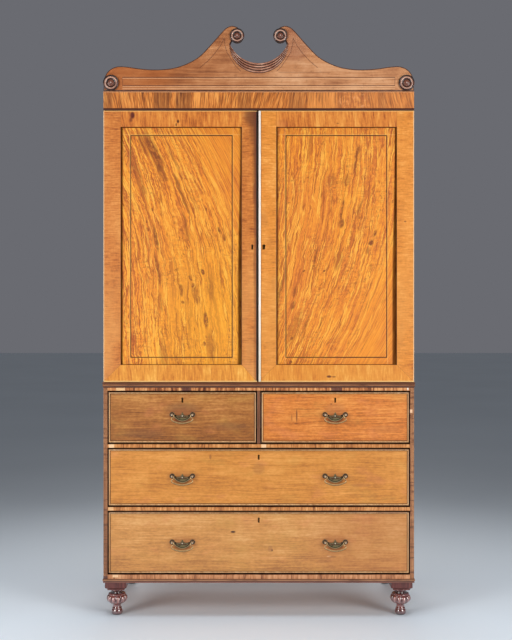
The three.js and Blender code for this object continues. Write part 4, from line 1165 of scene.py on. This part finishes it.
def drawer_blots():
    """The stains of each drawer front after the photograph, and round its handles painted shade behind and
    below the plate and a reddish halo of wear and painted shade.
    """
    blots = {
        "bottom": [
            (-0.101, 0.336, 0.012, 0.005, paint(60, 28, 14), 1.0),
            (0.276, 0.240, 0.012, 0.003, paint(238, 196, 150), 0.6),
            (0.46, 0.29, 0.34, 0.2, paint(172, 98, 52), 0.3),
            (0.052, 0.264, 0.005, 0.006, paint(90, 52, 30), 0.85),
            (0.045, 0.270, 0.012, 0.016, paint(160, 104, 62), 0.5),
            (0.29, 0.238, 0.020, 0.004, paint(120, 70, 40), 0.5),
        ],
        "middle": [
            (0.0, 0.585, 0.03, 0.03, paint(150, 92, 48), 0.35),
            (-0.19, 0.63, 0.006, 0.012, paint(140, 80, 40), 0.6),
            (0.40, 0.52, 0.05, 0.012, paint(170, 104, 56), 0.35),
        ],
        "short_left": [
            (-0.30, 0.82, 0.08, 0.03, paint(128, 84, 52), 0.45),
            (-0.45, 0.72, 0.10, 0.02, paint(120, 76, 44), 0.4),
            (-0.12, 0.75, 0.10, 0.02, paint(126, 80, 48), 0.35),
        ],
        "short_right": [
            (0.30, 0.82, 0.05, 0.03, paint(170, 104, 58), 0.35),
            (0.50, 0.74, 0.08, 0.02, paint(170, 100, 52), 0.3),
            (0.149, 0.792, 0.0035, 0.032, paint(96, 44, 18), 0.75),
            (0.147, 0.762, 0.010, 0.003, paint(96, 44, 18), 0.6),
            (0.13, 0.785, 0.003, 0.02, paint(140, 70, 30), 0.5),
            (0.285, 0.838, 0.005, 0.003, paint(96, 44, 18), 0.7),
        ],
    }
    handles = (
        ("bottom", 0.293, (-0.3, 0.3)),
        ("middle", 0.552, (-0.3, 0.3)),
        ("short_left", 0.792, (-0.3,)),
        ("short_right", 0.792, (0.3,)),
    )
    for name, middle, places in handles:
        for x in places:
            # Painted shade behind and below each plate, and a reddish halo of wear and painted shade round it.
            blots[name].append((x, middle - 0.011, 0.036, 0.019, paint(40, 19, 8), 0.85))
            blots[name].append((x, middle, 0.075, 0.034, paint(150, 76, 36), 0.34))
            blots[name].append((x, middle - 0.012, 0.05, 0.026, paint(110, 54, 26), 0.3))
    return blots


def dress_drawers():
    blots = drawer_blots()
    looks = {
        "short_left": ((paint(112, 60, 18), paint(165, 101, 41), paint(202, 139, 71)), 0.35, 1.25),
        "short_right": ((paint(156, 82, 26), paint(212, 123, 47), paint(237, 158, 77)), 0.2, 1.25),
        "middle": ((paint(164, 95, 33), paint(208, 135, 54), paint(232, 163, 82)), 0.1, 1.0),
        "bottom": ((paint(158, 100, 52), paint(203, 140, 72), paint(228, 172, 108)), 0.25, 1.0),
    }
    bead_tones = (paint(150, 96, 52), paint(206, 156, 102), paint(238, 198, 146))
    bead_wood = upright_wood("bead wood", 51.0, *bead_tones)
    line_wood = upright_wood("dark line", 52.0, paint(48, 22, 8), paint(92, 52, 24), paint(150, 100, 54))
    # Painted shade on the outer side of each bead, in the gap round the drawer.
    bead_edge_shade = upright_wood("bead edge shade", 53.0, paint(34, 12, 5), paint(84, 40, 18), paint(146, 88, 48))
    core_tones = (paint(118, 76, 42), paint(168, 118, 72), paint(202, 154, 106))
    core_wood = level_wood("front edge wood", 54.0, *core_tones, 0.6)
    for i, (name, (tones, fade, lively)) in enumerate(looks.items()):
        front = f"drawer_{name}_front"
        (x0, _, z0), (x1, back, z1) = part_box(front)
        body = "drawer_" + name
        inset = BEAD_WIDE + LINE_WIDE
        seed = 61.0 + 7 * i
        material = drawer_wood(f"drawer wood, {name}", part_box(front), seed, tones, blots[name], fade, lively)
        slit = keyhole((x0 + x1) / 2, z1 - KEYHOLE_DROP)
        a, b, c, d = x0 + inset, x1 - inset, z0 + inset, z1 - inset
        corners = [(a, c), (b, c), (b, d), (a, d)]
        field = plate(corners, [slit], FRONT, back, 0.25 * MM)
        mesh_piece(front + "_field", field, material, body, [front])
        frame_faces = picture_frame(x0, x1, z0, z1, bead_profile(BEAD_WIDE, BEAD_PROUD, BEAD_DEEP))
        bead = piece(front + "_bead", *frame_faces, bead_wood, body, "drawer_wood", sharp=50.0)
        bead.data.materials.append(bead_edge_shade)
        bead.data.materials.append(core_wood)
        for face in bead.data.polygons:
            row = face.index // 4
            if row < 5:
                face.material_index = 1 if row else 2
        floor = FRONT + LINE_DEEP
        channel = [(BEAD_WIDE, floor), (inset, floor), (inset, back), (BEAD_WIDE, back)]
        piece(front + "_line", *picture_frame(x0, x1, z0, z1, channel), line_wood, body, "drawer_wood")
        dress_box(f"drawer_{name}_box")


def dress_chest():
    pale, cream, purple = paint(250, 206, 158), paint(244, 196, 140), paint(84, 44, 40)
    patches = [
        (-0.588, -0.569, 0.666, 0.683, pale, 0.9),
        (0.011, 0.0285, 0.666, 0.683, pale, 0.9),
        (-0.560, -0.526, 0.891, 0.901, cream, 0.9),
        (-0.573, -0.553, 0.158, 0.168, pale, 0.8),
        (-0.590, -0.572, 0.420, 0.434, cream, 0.7),
        (-0.302, -0.266, 0.888, 0.903, purple, 0.85),
        (0.285, 0.327, 0.888, 0.903, purple, 0.85),
        # A painted glint.
        (0.583, 0.588, 0.894, 0.902, paint(255, 244, 226), 0.9),
    ]
    tones = (paint(100, 48, 20), paint(196, 124, 62), paint(236, 174, 108))
    dividers = ("drawer_divider_low", "drawer_divider_high")
    # Heights and widths of painted shade along the edges of the openings.
    shade_and_dirt = [(high(node).z, 2.4) for node in (*dividers, "chest_bottom_board")]
    shade_and_dirt += [(low(node).z, 1.2) for node in (*dividers, "chest_top_board")]
    rails = plain_band("rail banding", 71.0, *tones, patches=patches, edges=shade_and_dirt)
    reds = (paint(84, 36, 18), paint(186, 112, 60), paint(240, 178, 116))
    top_rail = plain_band("top rail banding", 72.0, *reds, patches=patches, strength=1.5, edges=shade_and_dirt)
    browns = (paint(112, 60, 32), paint(190, 124, 78), paint(226, 168, 120))
    foot_rail = plain_band("foot rail banding", 75.0, *browns, patches=patches, edges=shade_and_dirt)
    side_patches = [
        (0.593, 0.603, 0.804, 0.816, paint(246, 200, 160), 0.9),
        (-0.612, -0.586, 0.1515, 0.162, paint(84, 48, 46), 0.85),
    ]
    side_tones = (paint(92, 50, 28), paint(156, 102, 64), paint(196, 142, 96))
    sides = upright_wood("chest side wood", 73.0, *side_tones, patches=side_patches, banded=True)
    for name in ("chest_side_left", "chest_side_right"):
        dress(name, sides)
    dress("chest_bottom_board", foot_rail, 0.5 * MM)
    dress("chest_top_board", top_rail, 0.5 * MM)
    for name in dividers:
        dress(name, rails, 0.5 * MM)
    muntin = upright_wood("muntin wood", 74.0, paint(84, 48, 28), paint(128, 80, 52), paint(156, 104, 70))
    dress("drawer_partition", muntin, 0.6 * MM)
    dress("chest_back", pine_upright, 0.6 * MM)


def three_sides(half, front, back, z):
    """A row of points round the front and both sides at one height."""
    return [Vector((x, y, z)) for x, y in ((-half, back), (-half, front), (half, front), (half, back))]


def u_moulding(name, node, profile, side_share, material, inner):
    """A mitred moulding round the front and both sides. profile is (proud, share of height) rows of its face,
    inner is how far it runs in behind the front and the sides."""
    (_, y0, z0), (x1, back, z1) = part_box(node)
    proud = FRONT - y0
    side = side_share * proud
    half = x1 - side
    rows = []
    for p, s, _ in smooth_line([(p, s, 0) for p, s in profile], 4):
        z = z0 + min(max(s, 0.0), 1.0) * (z1 - z0)
        out = min(max(p, 0.0), 1.0)
        rows.append(three_sides(half + out * side, FRONT - out * proud, back, z))
    front_in, side_in = inner
    for z in (z1, z0):
        rows.append(three_sides(half - side_in, FRONT + front_in, back, z))
    rows.append(rows[0])
    verts, faces = rings(rows, False)
    count = len(rows) - 1
    for end in (0, 3):
        faces.append(tuple(r * 4 + end for r in range(count)))
    piece(name, verts, faces, material, "carcase", "mahogany", [node], sharp=28.0)


def dress_mouldings():
    waist = [
        (0.3, 0), (0.35, 0.16), (0.8, 0.22), (1, 0.36), (0.85, 0.5), (0.5, 0.56), (0.9, 0.64),
        (1, 0.75), (1, 1),
    ]
    u_moulding("waist", "waist_moulding", waist, 0.6, waist_mahogany, (4 * MM, 2 * MM))
    base = [(0.3, 0), (0.32, 0.3), (0.4, 0.44), (0.62, 0.5), (0.92, 0.56), (1, 0.72), (0.95, 0.88), (0.7, 1)]
    u_moulding("base", "base_moulding", base, 0.6, base_mahogany, (-SEAT, -SEAT))


def foot_mesh():
    """A lobed turned foot with its square block, standing on the floor at the origin."""
    profile = [
        (16.5, 0), (19, 1.4), (21.2, 6), (21.8, 11.5), (21.2, 17), (19.8, 21), (18.2, 23.2), (18.8, 25),
        (18.4, 27), (16.6, 29), (15.6, 31), (15.2, 34), (15.6, 38), (17.6, 41.2), (23, 44), (31, 49),
        (37.6, 55.5), (41, 62), (41, 68), (38.6, 74), (34.8, 78.2), (33.2, 79.8), (34, 81.4),
        (33.4, 83.8), (29, 85.4), (21, 86.6), (17.6, 88.2), (17.4, 90.4), (19.6, 93.2), (23.6, 95.6),
        (26.6, 97.4), (27, 98.4), (29.4, 99.2), (30.4, 100.8), (29.4, 102.4), (28.6, 103), (28.6, 118),
    ]
    lobes, lobe_deep, lobe_middle, lobe_reach = 12, 0.15, 63, 20
    line = smooth_profile(profile, 3, 0.0)
    depths = [lobe_deep * max(0.0, 1 - abs(h - lobe_middle) / lobe_reach) ** 0.4 for _, h in line]
    verts, faces = turning([(r * MM, h * MM) for r, h in line], 120, (depths, lobes))
    block_verts, block_faces = foot_block()
    start, turned = len(verts), len(faces)
    faces += [tuple(i + start for i in f) for f in block_faces]
    return verts + block_verts, faces, turned


def foot_block():
    """The square block over a turned foot, with rounded corners and a shaped lower edge."""
    half, floor, top, corner = 42, 103, 136, 1.2
    profile = [
        (half, floor), (9.6, floor), (8.6, floor + 1), (8.6, floor + 4.6), (7.6, floor + 5.8),
        (3.4, floor + 9.2), (0.8, floor + 10), (0, floor + 10.8), (0, top - 1), (1, top), (half, top),
    ]
    rows = []
    for inset, z in profile:
        s = max(half - inset, 0.01)
        r = min(corner, s)
        row = []
        for way_x, way_y, start in ((1, 1, 0), (-1, 1, 90), (-1, -1, 180), (1, -1, 270)):
            for step in range(4):
                a = math.radians(start + 30 * step)
                x, y = way_x * (s - r) + r * math.cos(a), way_y * (s - r) + r * math.sin(a)
                row.append(Vector((x * MM, y * MM, z * MM)))
        rows.append(row)
    return rings(rows, True)


def dress_feet():
    verts, faces, turned = foot_mesh()
    tones = (paint(50, 16, 14), paint(98, 44, 38), paint(140, 78, 66))
    block = upright_wood("foot block mahogany", 92.0, *tones, 0.3, coat=0.3)
    for name in ("front_left", "front_right", "back_left", "back_right"):
        node = "foot_" + name
        lo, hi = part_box(node)
        place = ((lo.x + hi.x) / 2, (lo.y + hi.y) / 2, lo.z)
        look = (foot_mahogany, "carcase", "foot_wood", [node])
        foot = piece(node + "_turned", verts, faces, *look, sharp=40.0, at=place)
        foot.data.materials.append(block)
        for face in foot.data.polygons[turned:]:
            face.material_index = 1


def dress_cupboard():
    side_tones = (paint(128, 80, 46), paint(180, 122, 74), paint(208, 152, 98))
    sides = upright_wood("cupboard side wood", 81.0, *side_tones)
    for name in ("cupboard_side_left", "cupboard_side_right"):
        dress(name, sides)
    dress("frieze", frieze_wood("frieze banding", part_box("frieze"), 82.0), 0.8 * MM, 3)
    for name in ("cupboard_bottom_board", "cupboard_top_board"):
        dress(name, pine_level, 0.6 * MM)
    dress("cupboard_back", pine_upright, 0.6 * MM)
    for i in range(1, 5):
        dress_box(f"linen_tray_{i}")
    for name in ("left_low", "left_high", "right_low", "right_high"):
        dress("hinge_" + name, plate_brass, 0.3 * MM)
    bracket_tones = (paint(120, 80, 50), paint(170, 124, 84), paint(200, 156, 112))
    bracket_wood = upright_wood("bracket wood", 91.0, *bracket_tones)
    for name in ("left", "right"):
        dress("pediment_bracket_" + name, bracket_wood, 1.0 * MM)


def crest_line():
    """The pediment's outline from its right foot over the crest and round the scroll to the opening."""
    lo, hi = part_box("pediment")
    half, foot = hi.x, lo.z
    tall = hi.z - foot
    shares = [
        (0.9967, 0.193),
        (0.98, 0.275),
        (0.954, 0.337),
        (0.9115, 0.378),
        (0.844, 0.374),
        (0.772, 0.349),
        (0.6885, 0.333),
        (0.61, 0.337),
        (0.531, 0.367),
        (0.46, 0.4265),
        (0.388, 0.524),
        (0.3246, 0.672),
        (0.272, 0.812),
        (0.2344, 0.913),
        (0.205, 0.975),
        (0.1705, 1.0),
        (0.138, 0.98),
    ]
    line = [(p.x, p.y) for p in smooth_line([(x * half, foot + z * tall, 0) for x, z in shares], 5)]
    scroll_z, middle = foot + SCROLL_MIDDLE, foot + OPENING_MIDDLE
    steps = 40
    for i in range(steps + 1):
        a = math.pi * (0.75 + 1.03 * i / steps)
        line.append((SCROLL_PLACE + SCROLL_RADIUS * math.cos(a), scroll_z + SCROLL_RADIUS * math.sin(a)))
    lip = -math.asin((OPENING_MIDDLE - HORN) / OPENING_RADIUS)
    for i in range(steps + 1):
        a = lip + (-math.pi / 2 - lip) * i / steps
        line.append((OPENING_RADIUS * math.cos(a), middle + OPENING_RADIUS * math.sin(a)))
    return [(half, foot), *line]


def dress_pediment():
    foot = low("pediment").z
    right = crest_line()
    outline = right + [(-x, z) for x, z in reversed(right[:-1])]
    slope = [(0.1354, 0.2075), (0.1495, 0.1796), (0.1719, 0.1485), (0.1998, 0.1179), (0.2309, 0.0924)]
    round_line = [
        (0.1354, 0.2075), (0.1326, 0.1796), (0.1244, 0.1513), (0.1075, 0.1234), (0.0878, 0.0955),
        (0.0709, 0.0786),
    ]
    curve = [[(x, foot + z) for x, z in line] for line in (slope, round_line)]
    material = pediment_wood("pediment wood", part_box("pediment"), curve)
    board_front = FRONT - PEDIMENT_PROUD
    mesh = plate(outline, [], board_front, board_front + PEDIMENT_THICK, 4.2 * MM)
    board = mesh_piece("pediment_board", mesh, material, "carcase", ["pediment"], sharp=30.0)
    # Painted shade on the front bevel of the board's edge.
    line = upright_wood("pediment bevel shade", 19.0, paint(40, 20, 12), paint(74, 40, 26), paint(118, 74, 52))
    edge_tones = (paint(92, 48, 26), paint(146, 88, 54), paint(184, 124, 84))
    edge = upright_wood("pediment edge wood", 22.0, *edge_tones)
    rear_tones = (paint(96, 54, 30), paint(146, 92, 56), paint(182, 128, 86))
    rear = level_wood("pediment rear wood", 23.0, *rear_tones, 0.6, coat=0.0)
    for extra in (line, edge, rear):
        board.data.materials.append(extra)
    flat = 0.985
    for face in board.data.polygons:
        if face.normal.y > -flat:
            face.material_index = 1 if face.normal.y < -0.2 else 3 if face.normal.y > flat else 2
    dress_crescent(foot, board_front)
    dress_roundels()


def dress_roundels():
    profile = [
        (1.0, 0.0), (1.0, 0.5), (0.985, 0.72), (0.94, 0.84), (0.88, 0.8), (0.84, 0.62), (0.80, 0.7),
        (0.72, 0.82), (0.63, 0.7), (0.56, 0.4), (0.46, 0.3), (0.38, 0.34), (0.33, 0.6), (0.27, 0.86),
        (0.18, 0.97), (0.06, 1.0), (0.002, 1.0),
    ]
    line = smooth_profile(profile, 3, 0.001)
    for name, radius in (("scroll", 28.5 * MM), ("corner", 31 * MM)):
        for side in ("left", "right"):
            node = f"roundel_{name}_{side}"
            lo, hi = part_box(node)
            place = ((lo.x + hi.x) / 2, hi.y, (lo.z + hi.z) / 2)
            verts, faces = turned_forward([(r * radius, min(h, 1.0) * (hi.y - lo.y)) for r, h in line], 64)
            material = roundel_wood(f"roundel mahogany, {name}_{side}", radius)
            piece(node + "_turned", verts, faces, material, "carcase", "mahogany", [node], at=place)


def roundel_wood(name, radius):
    """Turned mahogany with painted highlights on its rings and button and painted shade in its hollows."""
    # Dark bands are painted shade in the hollows, pale ones painted highlights on the rings and the button.
    bands = (
        (radius * 0.96, 3.4 * MM, paint(26, 12, 8), 1.0),
        (radius * 0.70, 1.5 * MM, paint(216, 176, 152), 0.75),
        (radius * 0.50, 2.4 * MM, paint(36, 18, 12), 1.0),
        (radius * 0.32, 1.2 * MM, paint(132, 90, 70), 0.6),
        (0.0, 2.4 * MM, paint(226, 204, 190), 0.9),
    )
    tones = (paint(56, 24, 18), paint(124, 68, 50), paint(176, 114, 90))
    return turned_wood(name, 14.0, *tones, 0.34, 0.45, 0.006, bands, 1.6)


def dress_crescent(foot, board_front):
    """Reeds that follow the round opening, widest below and drawn to a point at each horn. The hollows
    between them, painted dark as shade, are the first and the last strips of each reed."""
    middle, outer_middle = foot + OPENING_MIDDLE, foot + CRESCENT_MIDDLE
    radius, outer_radius = OPENING_RADIUS, CRESCENT_RADIUS
    lip = -math.asin((OPENING_MIDDLE - HORN) / radius)
    outer_lip = -math.asin((CRESCENT_MIDDLE - HORN) / outer_radius)
    reeds, steps, around = 4, 72, 9
    rows = []
    for i in range(steps + 1):
        share = i / steps
        a = lip + (-math.pi - 2 * lip) * share
        b = outer_lip + (-math.pi - 2 * outer_lip) * share
        inner = Vector((radius * math.cos(a), middle + radius * math.sin(a)))
        outer = Vector((outer_radius * math.cos(b), outer_middle + outer_radius * math.sin(b)))
        width = (outer - inner).length / reeds
        row = [Vector((inner.x, board_front + 1 * MM, inner.y))]
        for r in range(reeds):
            for k in range(around):
                part = k / (around - 1)
                at = inner.lerp(outer, (r + part) / reeds)
                rise = min(width * 0.6, 4.5 * MM) * math.sin(math.pi * part) ** 0.7
                row.append(Vector((at.x, board_front - 0.3 * MM - rise, at.y)))
        row.append(Vector((outer.x, board_front + 1 * MM, outer.y)))
        rows.append(row)
    verts, faces = rings(rows, False)
    count = len(rows[0])
    faces += [tuple(range(count)), tuple(range(steps * count, (steps + 1) * count))[::-1]]
    for i in range(steps):
        a, b = i * count, (i + 1) * count
        faces.append((a, b, b + count - 1, a + count - 1))
    tones = (paint(84, 44, 32), paint(164, 108, 82), paint(232, 186, 158))
    material = turned_wood("crescent wood", 17.0, *tones, 0.28, 0.6, 0.006)
    reeded = piece("crescent_reeds", verts, faces, material, "carcase", "pediment_wood", sharp=60.0)
    # Painted shade in the hollows between the reeds.
    hollow_shade_tones = (paint(44, 18, 10), paint(78, 38, 22), paint(110, 62, 38))
    hollow = upright_wood("crescent hollow shade", 18.0, *hollow_shade_tones)
    reeded.data.materials.append(hollow)
    for face in reeded.data.polygons[: steps * (count - 1)]:
        column = face.index % (count - 1) - 1
        if 0 <= column < reeds * around and column % around in (0, around - 3, around - 2, around - 1):
            face.material_index = 1


def handle_outline():
    """Right half of the pierced plate, from its lowest point round to the point on top, in millimetres."""
    return [
        (0, -26.4), (4, -26), (9, -25), (14, -23), (18.5, -20.6), (23, -17.6), (27.5, -14.2), (31, -10.6),
        (33, -6.4), (34, -2), (33, 1.6), (30.4, 1.4), (27.6, -0.4), (24, -2.2), (19, -3.8), (14.4, -4.6),
        (10.8, -4.2), (7.6, -2.6), (5.4, 0.2), (3.6, 3.6), (2.2, 6.8), (0, 9.2),
    ]


def ellipse(x, z, wide, tall, tilt, count=20):
    cos, sin = math.cos(tilt), math.sin(tilt)
    out = []
    for i in range(count):
        a = 2 * math.pi * i / count
        px, pz = wide * math.cos(a), tall * math.sin(a)
        out.append((x + px * cos - pz * sin, z + px * sin + pz * cos))
    return out


def handle_plate_mesh():
    right = handle_outline()
    outline = right + [(-x, z) for x, z in reversed(right[1:-1])]
    pierced = [
        (6.4, -9.4, 2.3, 3.0, 0.35),
        (14.6, -10.6, 4.2, 1.9, -0.25),
        (24.4, -7.8, 3.2, 1.6, 0.5),
        (3.2, -1.6, 1.2, 1.7, 0.3),
    ]
    holes = []
    for side in (-1, 1):
        holes += [ellipse(side * x, z, wide, tall, side * tilt) for x, z, wide, tall, tilt in pierced]
    scaled = [[(x * MM, z * MM) for x, z in part] for part in (outline, *holes)]
    return plate(scaled[0], scaled[1:], -PLATE_THICK, -SEAT, 0.45 * MM)


def post_mesh():
    """A rose and its post, standing forward from the drawer's face."""
    profile = [
        (10.4, 0.3), (10.4, 1.4), (10.1, 2.3), (9.3, 2.9), (8.5, 2.5), (7.8, 1.9), (7.0, 2.1),
        (6.2, 2.9), (5.2, 3.2), (4.3, 4.2), (3.7, 6.5), (3.6, 9.0), (4.1, 11.4), (4.6, 13.4),
        (4.7, 15.0), (4.5, 16.8), (3.9, 18.2), (2.6, 19.1), (0.8, POST_LONG), (0.02, POST_LONG),
    ]
    line = smooth_profile(profile, 2, 0.01)
    return turned_forward([(r * MM, min(h, POST_LONG) * MM) for r, h in line], 40)


def boss_mesh():
    """The small dome in the middle of a plate."""
    dome = [(3.2, 0), (3.1, 0.7), (2.6, 1.5), (1.7, 2.1), (0.8, 2.4), (0.02, 2.5)]
    return turned_forward([(r * MM, h * MM) for r, h in dome], 24)


def bail_mesh():
    """The bail about its own axis: pins, necks and bow, thicker towards the middle."""
    side = [
        (44.6, 0), (40, 0), (36.4, -0.1), (33.9, -1.2), (32.7, -3.6), (32.9, -6.6), (34.6, -9.6),
        (37.6, -12.2), (40.4, -14.8), (41.6, -17.8), (40.4, -20.8), (36.9, -23.7), (31.8, -26.3),
        (25.4, -28.7), (17.8, -30.8), (9.2, -32.4),
    ]
    points = side + [(0, -BAIL_DROP)] + [(-x, z) for x, z in reversed(side)]
    line = smooth_line([(x * MM, 0, z * MM) for x, z in points], 5)
    radii = []
    for p in line:
        depth = min(max(-p.z / (BAIL_DROP * MM), 0.0), 1.0)
        radii.append((1.7 + 1.2 * depth**1.5) * MM)
    return tube(line, radii)


def dress_handles():
    plate_mesh = handle_plate_mesh()
    post, boss, bow = post_mesh(), boss_mesh(), bail_mesh()
    for row in ("bottom", "middle", "short"):
        for side in ("left", "right"):
            name = f"{row}_{side}"
            node, bail = "handle_plate_" + name, "handle_bail_" + name
            body = "drawer_" + (name if row == "short" else row)
            lo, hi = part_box(node)
            place = Vector(((lo.x + hi.x) / 2, FRONT, low(bail).z + 35 * MM))
            mesh_piece(node + "_pierced", plate_mesh.copy(), plate_brass, body, [node], 30.0, place)
            for end, way in (("left", -1), ("right", 1)):
                at = place + Vector((way * POST_OFFSET, 0, 0))
                piece(f"{node}_post_{end}", *post, post_brass, body, "brass", at=at)
            at = place + Vector((0, -1.6 * MM, -5.6 * MM))
            piece(node + "_boss", *boss, post_brass, body, "brass", at=at)
            at = place + Vector((0, -BAIL_AXIS, 0))
            piece(bail + "_bow", *bow, bail_brass, "bail_" + name, "brass", [bail], at=at)


dress_doors()
dress_drawers()
dress_chest()
dress_mouldings()
dress_feet()
dress_cupboard()
dress_pediment()
dress_handles()


# Studio


def lay_floor():
    g = Graph("floor")
    cloud = g.noise(g.x * 0.6, g.y * 0.6, 0.0, 1.0, 2.0)
    grain = g.noise(g.x * 60.0, g.y * 60.0, 0.0, 2.0, 2.0)
    colour = g.ramp(cloud, (0.2, paint(224, 234, 244)), (0.8, paint(232, 242, 252)))
    material = g.done(colour, 0.6 + grain * 0.1)
    reach = 30.0
    verts = [(-reach, -reach, 0), (reach, -reach, 0), (reach, reach, 0), (-reach, reach, 0)]
    mesh = bpy.data.meshes.new("floor")
    mesh.from_pydata(verts, [], [(0, 1, 2, 3)])
    floor = bpy.data.objects.new("floor", mesh)
    mesh.materials.append(material)
    bpy.context.scene.collection.objects.link(floor)


def light_world():
    """Dim soft light from all around, with a grey wall where the camera looks past the press."""
    world = bpy.data.worlds.new("studio")
    bpy.context.scene.world = world
    world.use_nodes = True
    tree = world.node_tree
    tree.nodes.clear()
    soft = tree.nodes.new("ShaderNodeBackground")
    soft.inputs["Color"].default_value = (0.9, 0.92, 0.98, 1.0)
    soft.inputs["Strength"].default_value = 0.15
    seen = tree.nodes.new("ShaderNodeBackground")
    seen.inputs["Color"].default_value = paint(106, 107, 113)
    seen.inputs["Strength"].default_value = 1.0
    rays = tree.nodes.new("ShaderNodeLightPath")
    mix = tree.nodes.new("ShaderNodeMixShader")
    out = tree.nodes.new("ShaderNodeOutputWorld")
    tree.links.new(rays.outputs["Is Camera Ray"], mix.inputs[0])
    tree.links.new(soft.outputs[0], mix.inputs[1])
    tree.links.new(seen.outputs[0], mix.inputs[2])
    tree.links.new(mix.outputs[0], out.inputs[0])


def hang_lamps():
    for name, power, tint, size, place, target, spread in (
        ("left", 74.5, (1.0, 0.985, 0.96), (1.4, 2.4), (-2.7, -2.75, 1.5), (0.0, FRONT, 1.15), 180),
        ("right", 78.5, (1.0, 0.99, 0.97), (1.4, 2.4), (2.7, -2.75, 1.5), (0.0, FRONT, 1.15), 180),
        ("top", 21.0, (0.93, 0.97, 1.0), (3.0, 2.2), (0.0, -0.7, 4.4), (0.0, -0.7, 0.0), 84),
        ("rear", 21.0, (1.0, 0.99, 0.97), (1.8, 1.6), (0.0, 3.2, 1.9), (0.0, 0.2, 1.5), 90),
    ):
        lamp = bpy.data.lights.new("softbox " + name, "AREA")
        lamp.shape = "RECTANGLE"
        lamp.size, lamp.size_y = size
        lamp.energy = power
        lamp.color = tint
        lamp.spread = math.radians(spread)
        box = bpy.data.objects.new("softbox " + name, lamp)
        box.visible_camera = False
        box.visible_glossy = name in ("left", "right")
        box.location = place
        aim = Vector(target) - box.location
        box.rotation_euler = aim.to_track_quat("-Z", "Y").to_euler()
        bpy.context.scene.collection.objects.link(box)


def set_camera():
    camera = bpy.data.cameras.new("camera")
    camera.sensor_width = 36.0
    distance, height, sideways = 3.78, 1.168, -10.8 * MM
    camera.lens = 57.3 * distance / 4
    holder = bpy.data.objects.new("camera", camera)
    holder.location = (sideways, FRONT - distance, height)
    holder.rotation_euler = (math.radians(90), 0, 0)
    bpy.context.scene.collection.objects.link(holder)
    bpy.context.scene.camera = holder
    bpy.context.scene.view_settings.view_transform = "Standard"


lay_floor()
light_world()
hang_lamps()
set_camera()
